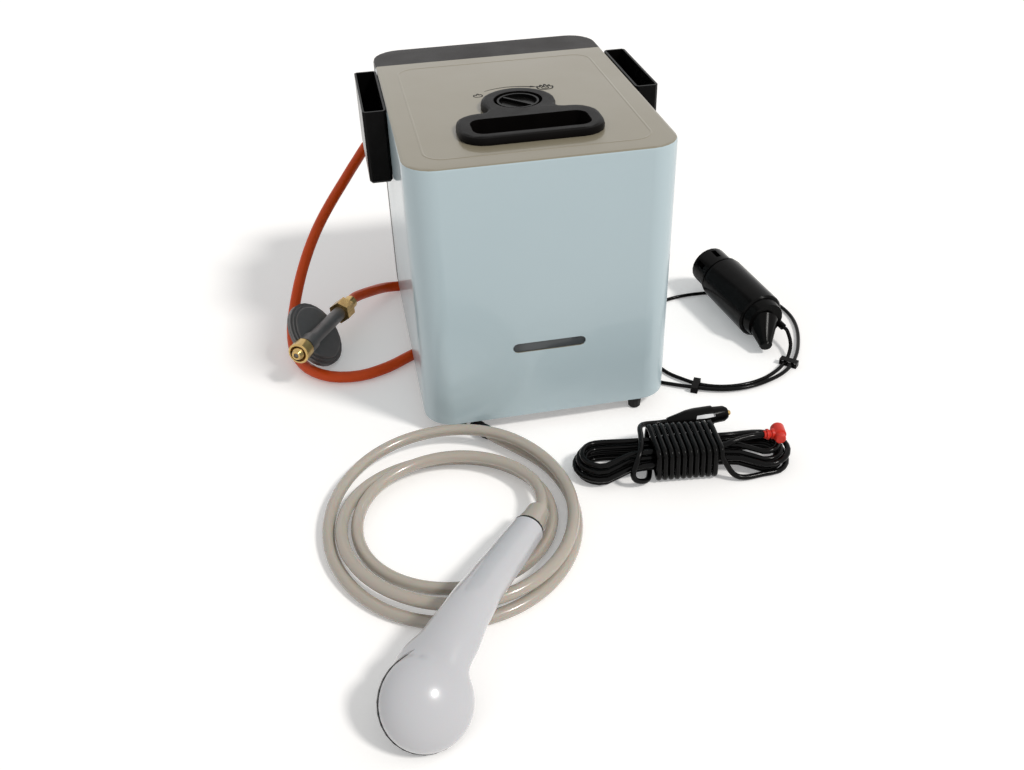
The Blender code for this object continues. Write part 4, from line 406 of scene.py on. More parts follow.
class Shop:
    """Shared ways of making, dressing and mounting a piece."""

    weld = 1e-6
    replaced: set[str] = set()

    @staticmethod
    def linked(name: str, data: bpy.types.ID) -> Piece:
        """Puts a mesh, curve, lamp or camera into the scene as an object."""
        made = bpy.data.objects.new(name, data)
        bpy.context.scene.collection.objects.link(made)
        return made

    @staticmethod
    def show(name: str, mesh: Mesh, coat: Coat, angle: float = 32.0) -> Piece:
        """Links a mesh, smooths it up to an angle and gives it a finish.

        Args:
            name: The piece's name.
            mesh: Its mesh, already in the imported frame.
            coat: Its finish.
            angle: Edges sharper than this many degrees stay crisp.

        Returns:
            The new object.
        """
        piece = Shop.linked(name, mesh)
        mesh.shade_smooth()
        mesh.set_sharp_from_angle(angle=math.radians(angle))
        mesh.materials.clear()
        mesh.materials.append(coat.value.material())
        return piece

    @staticmethod
    def mount(piece: Piece, body: str, coat: Coat | None, *nodes: str) -> Piece:
        """Makes a piece ride on a body and stand for CAD nodes.

        Args:
            piece: The finished piece.
            body: The body that carries it.
            coat: The finish; not used.
            nodes: The CAD nodes that it stands for.

        Returns:
            The same piece.
        """
        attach(piece, body)
        if nodes:
            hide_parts(*nodes)
            Shop.replaced.update(nodes)
        LOG.info("piece %s rides on %s", piece.name, body)
        return piece

    @staticmethod
    def mesh_of(bm: BMesh, name: str) -> Mesh:
        """Turns a bmesh into a mesh with its faces pointing out."""
        bmesh.ops.remove_doubles(bm, verts=bm.verts, dist=Shop.weld)
        bmesh.ops.recalc_face_normals(bm, faces=bm.faces)
        return Shop.poured(bm, name)

    @staticmethod
    def poured(bm: BMesh, name: str) -> Mesh:
        """Turns a bmesh into a mesh as it is."""
        mesh = bpy.data.meshes.new(name)
        bm.to_mesh(mesh)
        bm.free()
        return mesh

    @staticmethod
    def take(bm: BMesh, mesh: Mesh) -> BMesh:
        """Moves a mesh's faces into a bmesh, removes the mesh and returns the bmesh."""
        bm.from_mesh(mesh)
        bpy.data.meshes.remove(mesh)
        return bm

    @staticmethod
    def baked(piece: Piece, name: str) -> Mesh:
        """Takes the evaluated mesh of a helper object and removes the helper.

        Args:
            piece: The helper with its modifiers.
            name: The new mesh's name.

        Returns:
            The plain mesh.
        """
        graph = bpy.context.evaluated_depsgraph_get()
        mesh = bpy.data.meshes.new_from_object(piece.evaluated_get(graph))
        mesh.name = name
        bpy.data.objects.remove(piece)
        return mesh

    @staticmethod
    def oval(
        centre: Vector, across: Vector, above: Vector, half: Pair, sides: int
    ) -> list[Vector]:
        """An oval ring of points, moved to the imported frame.

        Args:
            centre: Its centre, in the case's frame.
            across: The direction of its width.
            above: The direction of its height.
            half: Half its width and half its height.
            sides: The number of points.

        Returns:
            The points.
        """
        wide, high = half
        turns = (math.tau * i / sides for i in range(sides))
        return [at_case(centre + across * wide * math.cos(a) + above * high * math.sin(a)) for a in turns]

    @staticmethod
    def sweep(lines: list[list[Vector]], name: str, closed: bool = False) -> Mesh:
        """Skins rings of points into a closed form.

        Args:
            lines: Rings of equal length, in order.
            name: The mesh's name.
            closed: Whether the last ring meets the first.

        Returns:
            The mesh.
        """
        bm = bmesh.new()
        rings = [[bm.verts.new(p) for p in line] for line in lines]
        pairs = list(zip(rings, rings[1:])) + ([(rings[-1], rings[0])] if closed else [])
        for before, after in pairs:
            for i in range(len(before)):
                j = (i + 1) % len(before)
                bm.faces.new((before[i], before[j], after[j], after[i]))
        if not closed:
            bm.faces.new(rings[0][::-1])
            bm.faces.new(rings[-1])
        return Shop.mesh_of(bm, name)


class Route:
    """Lines that the cords follow."""

    samples = 24

    @staticmethod
    def ease(share: float) -> float:
        """A smooth step from 0 to 1."""
        share = min(1.0, max(0.0, share))
        return share * share * (3 - 2 * share)

    @staticmethod
    def stepped(knots: tuple, at: float) -> float:
        """A value eased from one knot to the next."""
        for (t0, v0), (t1, v1) in zip(knots, knots[1:]):
            if at <= t1:
                return v0 + (v1 - v0) * Route.ease((at - t0) / (t1 - t0))
        return knots[-1][1]

    @staticmethod
    def length(points: list[Vector]) -> float:
        """The length of a run of points."""
        return sum((Vector(b) - Vector(a)).length for a, b in zip(points, points[1:]))

    @staticmethod
    def sampled(point: Callable[[float], Vector], first: float, last: float, per_turn: int) -> list[Vector]:
        """Even samples of a winding.

        Args:
            point: What gives the point at a turn.
            first: The turn that it starts at.
            last: The turn that it ends at.
            per_turn: How many samples a turn has.

        Returns:
            The points.
        """
        count = round((last - first) * per_turn)
        return [point(first + (last - first) * i / count) for i in range(count + 1)]

    @staticmethod
    def smooth(points: list, spacing: float) -> list[Vector]:
        """Even points along a centripetal curve whose end runs stay straight.

        Args:
            points: The knots.
            spacing: The distance between the new points, in metres.

        Returns:
            The new points.
        """
        knots = [Vector(p) for p in points]
        dense = []
        for p0, p1, p2, p3 in zip(knots, knots[1:], knots[2:], knots[3:]):
            t1 = math.sqrt((p1 - p0).length)
            t2 = t1 + math.sqrt((p2 - p1).length)
            t3 = t2 + math.sqrt((p3 - p2).length)
            for i in range(Route.samples):
                t = t1 + (t2 - t1) * i / Route.samples
                a1 = p0 * ((t1 - t) / t1) + p1 * (t / t1)
                a2 = p1 * ((t2 - t) / (t2 - t1)) + p2 * ((t - t1) / (t2 - t1))
                a3 = p2 * ((t3 - t) / (t3 - t2)) + p3 * ((t - t2) / (t3 - t2))
                b1 = a1 * ((t2 - t) / t2) + a2 * (t / t2)
                b2 = a2 * ((t3 - t) / (t3 - t1)) + a3 * ((t - t1) / (t3 - t1))
                dense.append(b1 * ((t2 - t) / (t2 - t1)) + b2 * ((t - t1) / (t2 - t1)))
        dense.append(knots[-2])
        lengths = [0.0]
        for a, b in zip(dense, dense[1:]):
            lengths.append(lengths[-1] + (b - a).length)
        count = max(2, round(lengths[-1] / spacing))
        even = [knots[0]]
        index = 0
        for i in range(count + 1):
            goal = lengths[-1] * i / count
            while index < len(lengths) - 2 and lengths[index + 1] < goal:
                index += 1
            step = lengths[index + 1] - lengths[index]
            even.append(dense[index].lerp(dense[index + 1], (goal - lengths[index]) / step))
        return even + [knots[-1]]

    @staticmethod
    def refined(points: list[Vector], parts: int) -> list[Vector]:
        """Adds rounded points between the given ones.

        Args:
            points: The run of points.
            parts: How many pieces each step is cut into.

        Returns:
            The finer run, which passes through every given point.
        """
        ends = [points[0] * 2 - points[1]] + points + [points[-1] * 2 - points[-2]]
        fine = []
        for a, b, c, d in zip(ends, ends[1:], ends[2:], ends[3:]):
            for i in range(parts):
                t = i / parts
                fine.append(
                    0.5 * ((2 * b) + (c - a) * t + (2 * a - 5 * b + 4 * c - d) * t * t
                           + (3 * b - a - 3 * c + d) * t * t * t)
                )
        return fine + [points[-1]]


@dataclass
class Cord:
    """A free hose or cable drawn as one curve in its node's place."""

    node: str
    coat: Coat
    diameter: float
    roundness: int

    def lay(self, points: list[Vector], parts: int) -> Piece:
        """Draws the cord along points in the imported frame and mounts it.

        Args:
            points: The centreline.
            parts: How many pieces each of its steps is cut into.

        Returns:
            The curve object.
        """
        fine = Route.refined(points, parts)
        curve = bpy.data.curves.new(self.node, "CURVE")
        curve.dimensions = "3D"
        curve.bevel_depth = self.diameter / 2
        curve.bevel_resolution = self.roundness
        curve.use_fill_caps = True
        spline = curve.splines.new("POLY")
        spline.points.add(len(fine) - 1)
        for knot, point in zip(spline.points, fine):
            knot.co = (*point, 1.0)
        spline.use_smooth = True
        curve.materials.append(self.coat.value.material())
        cord = Shop.linked(f"{self.node}_line", curve)
        return Shop.mount(cord, ROOT_BODY, self.coat, self.node)


class Skins:
    """Smooth skins made from the CAD nodes, with the same shape."""

    weld = 2e-6
    flat_weight = 80

    @staticmethod
    def skin(node: str) -> Piece:
        """Makes one node's skin: its welded copy with crisp and rounded edges told apart.

        Args:
            node: The CAD node's name.

        Returns:
            The new piece, mounted in the node's place.
        """
        bm = bmesh.new()
        bm.from_mesh(frame["nodes"][node].data)
        bmesh.ops.remove_doubles(bm, verts=bm.verts, dist=Skins.weld)
        mesh = Shop.poured(bm, f"{node}_skin")
        for name in [a.name for a in mesh.attributes if a.name == "custom_normal"]:
            mesh.attributes.remove(mesh.attributes[name])
        coat = Skins.coat_of(node)
        piece = Shop.show(f"{node}_skin", mesh, coat)
        weighted = piece.modifiers.new("flat_faces_lead", "WEIGHTED_NORMAL")
        weighted.keep_sharp = True
        weighted.weight = Skins.flat_weight
        return Shop.mount(piece, Skins.body_of(node), coat, node)

    @staticmethod
    def skin_all(*nodes: str) -> list[Piece]:
        """Makes the skins of several nodes."""
        return [Skins.skin(node) for node in nodes]

    @staticmethod
    def coat_of(node: str) -> Coat:
        """The finish that the record names for a node."""
        return next(Coat[s["material_slot"]] for s in frame["record"]["subparts"] if s["node"] == node)

    @staticmethod
    def body_of(node: str) -> str:
        """The body that holds a node."""
        return next(b for b, ns in frame["record"]["behaviour"]["bodies"].items() if node in ns)

    @staticmethod
    def dress_rest() -> None:
        """Gives every node that keeps its CAD solid its finish."""
        for node, solid in frame["nodes"].items():
            if node not in Shop.replaced:
                solid.data.materials.clear()
                solid.data.materials.append(Skins.coat_of(node).value.material())


class Repeater:
    """Geometry Nodes that set one small turned form on every point of a mesh."""

    @staticmethod
    def tree() -> Tree:
        """Builds the tree once.

        Returns:
            A tree from points, Foot Radius, Crown Radius, Height, Sides, Turn and Material to their forms.
        """
        if "forms_on_points" in bpy.data.node_groups:
            return bpy.data.node_groups["forms_on_points"]
        tree, entry, leave = Wiring.group(
            "forms_on_points", "GeometryNodeTree",
            {"Geometry": "Geometry", "Foot Radius": "Float", "Crown Radius": "Float", "Height": "Float",
             "Sides": "Int", "Turn": "Vector", "Material": "Material"},
            {"Geometry": "Geometry"},
        )
        cone, spots, spread, real, paint = (
            Wiring.add(tree, f"GeometryNode{kind}")
            for kind in ("MeshCone", "MeshToPoints", "InstanceOnPoints", "RealizeInstances", "SetMaterial")
        )
        Wiring.join(
            tree, (entry, "Geometry", spots, "Mesh"), (spots, "Points", spread, "Points"),
            (entry, "Foot Radius", cone, "Radius Bottom"), (entry, "Crown Radius", cone, "Radius Top"),
            (entry, "Height", cone, "Depth"), (entry, "Sides", cone, "Vertices"),
            (cone, "Mesh", spread, "Instance"), (entry, "Turn", spread, "Rotation"),
            (spread, "Instances", real, "Geometry"), (real, "Geometry", paint, "Geometry"),
            (entry, "Material", paint, "Material"), (paint, "Geometry", leave, "Geometry"),
        )
        return tree

    @staticmethod
    def lay(
        name: str, points: list[Vector], toward: Vector, size: Triple, coat: Coat,
        sides: int,
    ) -> Piece:
        """Sets a small form on each point and mounts them as one piece.

        Args:
            name: The piece's name.
            points: Where the forms stand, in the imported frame.
            toward: The direction in which they stand.
            size: The radius at the foot, the radius at the crown and the height, in metres.
            coat: The finish.
            sides: The number of sides.

        Returns:
            One piece that holds every form.
        """
        mesh = bpy.data.meshes.new(f"{name}_spots")
        mesh.from_pydata([tuple(p) for p in points], [], [])
        helper = Shop.linked(f"{name}_spots", mesh)
        nodes = helper.modifiers.new("forms", "NODES")
        nodes.node_group = Repeater.tree()
        foot, crown, height = size
        values = {
            "Foot Radius": foot, "Crown Radius": crown, "Height": height, "Sides": sides,
            "Turn": tuple(toward.to_track_quat("Z", "Y").to_euler()), "Material": coat.value.material(),
        }
        for item in nodes.node_group.interface.items_tree:
            if item.item_type == "SOCKET" and item.in_out == "INPUT" and item.name in values:
                nodes[item.identifier] = values[item.name]
        made = Shop.baked(helper, name)
        return Shop.mount(Shop.show(name, made, coat, angle=40.0), ROOT_BODY, coat)


@dataclass
class Camera:
    """The photograph's camera, found from the case's own edges."""

    place: Triple = (-0.1880, -1.0123, 0.6733)
    azimuth: float = 9.7297
    descent: float = 35.3768
    roll: float = -2.1048
    focal_pixels: float = 997.677
    frame_width: int = 1024
    sensor: float = 36.0
    reach: Pair = (0.02, 20.0)

    def build(self) -> None:
        """Adds the camera and makes it the scene's own."""
        a, d, r = (math.radians(v) for v in (self.azimuth, self.descent, self.roll))
        ahead = Vector((math.sin(a) * math.cos(d), math.cos(a) * math.cos(d), -math.sin(d)))
        level = Vector((math.cos(a), -math.sin(a), 0.0))
        above = level.cross(ahead)
        right = level * math.cos(r) + above * math.sin(r)
        top = above * math.cos(r) - level * math.sin(r)
        data = bpy.data.cameras.new("photo_camera")
        data.sensor_width = self.sensor
        data.sensor_fit = "HORIZONTAL"
        data.lens = self.focal_pixels / self.frame_width * data.sensor_width
        data.clip_start, data.clip_end = self.reach
        camera = Shop.linked("photo_camera", data)
        turn = Matrix((right, top, -ahead)).transposed().to_4x4()
        camera.matrix_world = Matrix.Translation(at_case(self.place)) @ turn
        bpy.context.scene.camera = camera


@dataclass
class Studio:
    """A pale floor and soft lamps."""

    floor_half: float = 6.0
    floor_z: float = -0.0004
    floor_colour: tuple[float, float, float, float] = (0.92, 0.91, 0.90, 1.0)
    floor_lift: float = 0.22
    sky: float = 0.48
    key: float = 1.85
    key_softness: float = 9.0
    key_colour: Triple = (1.0, 0.975, 0.94)
    key_from: Triple = (0.52, -0.46, 0.80)

    def build(self) -> None:
        """Adds the floor, the sky light and the key lamp."""
        mesh = bpy.data.meshes.new("studio_floor")
        corners = [
            (x * self.floor_half, y * self.floor_half, self.floor_z)
            for x, y in ((-1, -1), (1, -1), (1, 1), (-1, 1))
        ]
        mesh.from_pydata(corners, [], [(0, 1, 2, 3)])
        floor = Shop.linked("studio_floor", mesh)
        mesh.materials.append(self._paper())
        self._sky()
        data = bpy.data.lights.new("key_lamp", "SUN")
        data.energy = self.key
        data.angle = math.radians(self.key_softness)
        data.color = self.key_colour
        lamp = Shop.linked("key_lamp", data)
        lamp.rotation_euler = Vector(self.key_from).to_track_quat("Z", "Y").to_euler()
        bpy.context.scene.view_settings.view_transform = "Standard"

    @staticmethod
    def _seen(tree: Tree) -> Node:
        """A factor of one for rays from the camera, from gloss and through glass."""
        path = Wiring.add(tree, "ShaderNodeLightPath")
        one = Wiring.add(tree, "ShaderNodeMath", operation="MAXIMUM")
        two = Wiring.add(tree, "ShaderNodeMath", operation="MAXIMUM")
        Wiring.join(
            tree, (path, "Is Camera Ray", one, 0), (path, "Is Glossy Ray", one, 1), (one, 0, two, 0),
            (path, "Is Transmission Ray", two, 1),
        )
        return two

    def _paper(self) -> Material:
        """The floor's white paper, a little brighter where it is seen."""
        made = bpy.data.materials.new("studio_paper")
        made.use_nodes = True
        tree = made.node_tree
        shader = tree.nodes["Principled BSDF"]
        Wiring.fill(shader, {
            "Base Color": self.floor_colour, "Roughness": 0.85, "Specular IOR Level": 0.1,
            "Emission Color": WHITE,
        })
        lift = Wiring.add(tree, "ShaderNodeMath", {1: self.floor_lift}, operation="MULTIPLY")
        Wiring.join(tree, (self._seen(tree), 0, lift, 0), (lift, 0, shader, "Emission Strength"))
        return made

    def _sky(self) -> None:
        """Even light from everywhere, white where it is seen."""
        world = bpy.data.worlds.new("studio_sky")
        world.use_nodes = True
        bpy.context.scene.world = world
        tree = world.node_tree
        back = tree.nodes["Background"]
        back.inputs["Color"].default_value = WHITE
        level = Wiring.add(tree, "ShaderNodeMapRange", {"To Min": self.sky, "To Max": 1.0})
        Wiring.join(tree, (self._seen(tree), 0, level, "Value"), (level, "Result", back, "Strength"))


@dataclass
class GasSide:
    """The orange gas hose and the regulator on its end."""

    diameter: float = 0.0133
    inlet: Pair = (-0.0895, 0.195)
    tube_axis: Triple = (0.4435, 0.88953, -0.10973)
    start_run: float = 0.0083
    straight_run: float = 0.016
    floor_gap: float = 0.0002
    point_every: float = 2.7
    nose_at: Triple = (-0.26615, -0.029958, 0.049529)
    nose_axis: Triple = (0.443503, 0.88953, -0.109734)
    nose_sides: int = 32
    nose: tuple = (
        (-0.0015, 0.0026), (-0.0050, 0.0030), (-0.0053, 0.0034), (-0.0050, 0.0050), (-0.0030, 0.0062),
        (0.0002, 0.0078), (0.0012, 0.0083), (0.0030, 0.0083),
    )

    def build(self) -> None:
        """Draws the hose and skins the regulator."""
        ferrule = Skins.skin("hose_ferrule")
        points = [at_case(p) for p in self.route()]
        hose = Cord("gas_hose", Coat.orange_hose, self.diameter, roundness=6).lay(points, parts=3)
        Route.length(points)
        Skins.skin_all(
            "regulator_body", "regulator_cover", "regulator_inlet_nut", "regulator_outlet_nut",
            "gas_inlet_fitting",
        )
        self.inlet_nose()

    def inlet_nose(self) -> Piece:
        """The brass nose on the regulator's inlet, seen inside its nut."""
        start, along = Vector(self.nose_at), Vector(self.nose_axis).normalized()
        across = along.cross(UP).normalized()
        rings = [
            Shop.oval(start + along * run, across, across.cross(along), (wide, wide), self.nose_sides)
            for run, wide in self.nose
        ]
        mesh = Shop.sweep(rings, "regulator_inlet_nose")
        return Shop.mount(Shop.show("regulator_inlet_nose", mesh, Coat.brass), ROOT_BODY, Coat.brass)

    def route(self) -> list[Vector]:
        """The hose's points: down behind the regulator, under the case and back to the ferrule."""
        low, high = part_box("hose_ferrule")
        floor = self.diameter / 2 + self.floor_gap
        along = Vector(self.tube_axis).normalized()
        start = (Vector(low) + Vector(high)) / 2 - DATUM + along * self.start_run
        x, z = self.inlet
        inlet = (x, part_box("gas_inlet_fitting")[1][1] - DATUM.y + TOUCH, z)
        knots = [
            inlet, (-0.0895, 0.2540, 0.1950), (-0.104, 0.2720, 0.1940),
            (-0.1245, 0.2735, 0.1900), (-0.1445, 0.2640, 0.1810), (-0.1617, 0.2486, 0.1680),
            (-0.1935, 0.2132, 0.1411), (-0.2232, 0.1770, 0.1145), (-0.2455, 0.1419, 0.0876),
            (-0.2618, 0.1100, 0.0594), (-0.2725, 0.0800, 0.0335), (-0.2765, 0.0530, 0.0175),
            (-0.2705, 0.0240, 0.0082), (-0.2560, -0.0030, floor), (-0.2390, -0.0180, floor),
            (-0.2217, -0.0256, floor), (-0.2003, -0.0272, floor), (-0.1783, -0.0218, floor),
            (-0.1554, -0.0110, floor), (-0.1300, 0.0060, floor), (-0.0900, 0.0260, floor),
            (-0.0450, 0.0430, floor), (0.0050, 0.0660, floor), (0.0480, 0.1000, floor),
            (0.0680, 0.1480, floor), (0.0560, 0.2000, floor), (0.0180, 0.2340, floor),
            (-0.0300, 0.2360, floor), (-0.0640, 0.2100, floor), (-0.0830, 0.1830, floor),
            (-0.1030, 0.1710, floor), (-0.1190, 0.1740, floor), (-0.1355, 0.1770, floor),
            (-0.1500, 0.1690, 0.0105), (-0.1625, 0.1550, 0.0180), (-0.1787, 0.1310, 0.0265),
            start + along * self.straight_run, start,
        ]
        return Route.smooth(knots, self.diameter * self.point_every)


@dataclass
class ShowerHose:
    """The milky hose in its loose coil."""

    diameter: float = 0.012
    middle: Pair = (-0.129, -0.296)
    start_angle: float = 57.0
    turns: Pair = (0.055, 3.10)
    per_turn: int = 24
    radii: tuple = ((0.0, 0.124), (1.25, 0.120), (1.95, 0.097), (2.3, 0.095), (2.7, 0.0885), (3.3, 0.088))
    layers: tuple = ((0.0, 0), (0.5, 0), (0.95, 1), (1.5, 1), (1.95, 0), (2.5, 0), (2.95, 1), (3.4, 1))
    layer: float = 0.0127
    hump: float = 0.0024
    hump_turn: float = 1.0
    hump_spread: float = 0.07
    oval_from: float = 0.088
    oval_span: float = 0.036
    oval_x: Pair = (1.034, -0.062)
    oval_y: Pair = (0.932, 0.124)
    nut: Triple = (-0.049, -0.324, 0.0262)
    axis: Triple = (-0.537, -0.839, 0.101)
    nut_run: float = 0.008
    connector_end: Triple = (-0.0705, -0.1722, 0.0081)
    connector_heading: Triple = (0.574, -0.819, 0.0)
    step: float = 0.012

    def build(self) -> None:
        """Draws the hose from the hand shower back to its connector."""
        connector = Skins.skin("hose_connector")
        points = [at_case(p) for p in self.route()][::-1]
        hose = Cord("shower_hose", Coat.milky_hose, self.diameter, roundness=7).lay(points, parts=4)
        Route.length(points)

    def coil_point(self, turn: float) -> Vector:
        """A point of the coil, counted in turns clockwise from above."""
        low = self.diameter / 2 + OFF_FLOOR
        heights = tuple((at, low + self.layer * layer) for at, layer in self.layers)
        radius, z = Route.stepped(self.radii, turn), Route.stepped(heights, turn)
        z += self.hump * math.exp(-(((turn - self.hump_turn) / self.hump_spread) ** 2))
        wide = (radius - self.oval_from) / self.oval_span
        angle = math.radians(self.start_angle) - math.tau * turn
        x = self.middle[0] + radius * (self.oval_x[0] + self.oval_x[1] * wide) * math.cos(angle)
        y = self.middle[1] + radius * (self.oval_y[0] + self.oval_y[1] * wide) * math.sin(angle)
        return Vector((x, y, z))

    def route(self) -> list[Vector]:
        """The hose's points from the connector to the hand shower's nut."""
        first, last = self.turns
        end, heading = Vector(self.connector_end), Vector(self.connector_heading).normalized()
        coil = Route.sampled(self.coil_point, first, last, self.per_turn)
        nut, axis = Vector(self.nut), Vector(self.axis).normalized()
        lead_out = Route.smooth(
            [coil[-2], coil[-1], (-0.0405, -0.2960, 0.0222), (-0.0425, -0.3080, 0.0244),
             nut - axis * self.nut_run, nut], self.step,
        )[2:]
        return [end, end + heading * self.step] + coil + lead_out


@dataclass
class PumpSide:
    """The pump, its lead and the ties on it."""

    diameter: float = 0.0045
    socket_x: float = 0.072
    socket_z: float = 0.060
    socket_depth: float = 0.003
    plug_length: float = 0.016
    tie_band: float = 0.0009
    tie_room: float = 0.0002
    pump_at: Triple = (0.288, -0.046, 0.0288)
    pump_angles: Pair = (2.7, 8.8)
    gland_at: Triple = (0.0185, -0.011, -0.006)
    gland_reach: Triple = (0.002, -0.009, -0.002)
    gland_run: float = 0.007
    steps: int = 70

    def build(self) -> None:
        """Draws the lead and skins the pump."""
        on_lead = Skins.skin_all("pump_plug", "lead_tie_1", "lead_tie_2")
        points = [at_case(p) for p in self.route()]
        lead = Cord("pump_lead", Coat.black_pvc, self.diameter, roundness=5).lay(points, parts=3)
        Route.length(points)
        Skins.skin_all("pump_body", "pump_cap", "pump_impeller")

    def gland(self) -> tuple[Vector, Vector]:
        """Finds where the lead leaves the pump's gland.

        Returns:
            The direction in which it leaves, and the point, both in the case's frame.
        """
        tilt, heading = (math.radians(angle) for angle in self.pump_angles)
        turn = Euler((tilt, 0.0, heading), "YXZ").to_matrix()
        reach = Vector(self.gland_reach)
        toward = (turn @ reach).normalized()
        end = Vector(self.pump_at) + turn @ (Vector(self.gland_at) + reach)
        return toward, end + toward * TOUCH

    def route(self) -> list[Vector]:
        """The lead's points: one and a half turns on the floor, then round the case to its socket."""
        low = self.diameter / 2 + OFF_FLOOR
        tied = self.tie_band + TOUCH + self.diameter / 2 + self.tie_room
        plug_y = CASE_BACK + self.socket_depth + TOUCH + self.plug_length + TOUCH
        toward, start = self.gland()
        knots = [
            start, start + toward * self.gland_run, (0.311, -0.087, 0.0115), (0.306, -0.097, 0.0055),
            (0.2955, -0.1095, tied), (0.283, -0.1215, tied), (0.265, -0.1335, tied), (0.245, -0.1410, tied),
            (0.223, -0.1435, tied), (0.200, -0.1400, tied), (0.1785, -0.1290, tied), (0.163, -0.1130, tied),
            (0.151, -0.0930, low), (0.145, -0.0650, low), (0.146, -0.0250, low), (0.157, 0.0180, low),
            (0.178, 0.0470, low), (0.205, 0.0610, low), (0.230, 0.0660, low), (0.256, 0.0660, low),
            (0.285, 0.0610, low), (0.316, 0.0470, low), (0.336, 0.0240, low), (0.344, -0.0060, low),
            (0.341, -0.0380, low), (0.330, -0.0690, low), (0.316, -0.0960, tied), (0.301, -0.1165, tied),
            (0.285, -0.1305, tied), (0.266, -0.1400, tied), (0.245, -0.1468, tied), (0.222, -0.1492, tied),
            (0.198, -0.1457, tied), (0.1745, -0.1360, tied), (0.159, -0.1270, tied), (0.142, -0.1170, low),
            (0.128, -0.1020, low), (0.120, -0.0750, low), (0.1165, -0.0300, low), (0.1165, 0.0400, low),
            (0.118, 0.1100, low), (0.1215, 0.1650, low), (0.125, 0.2000, low), (0.124, 0.2350, low),
            (0.116, 0.2620, 0.006), (0.101, 0.2780, 0.018), (0.085, 0.2790, 0.037),
            (self.socket_x + 0.003, 0.2690, self.socket_z - 0.006),
            (self.socket_x, plug_y + 0.012, self.socket_z), (self.socket_x, plug_y, self.socket_z),
        ]
        return Route.smooth(knots, Route.length(knots) / self.steps)


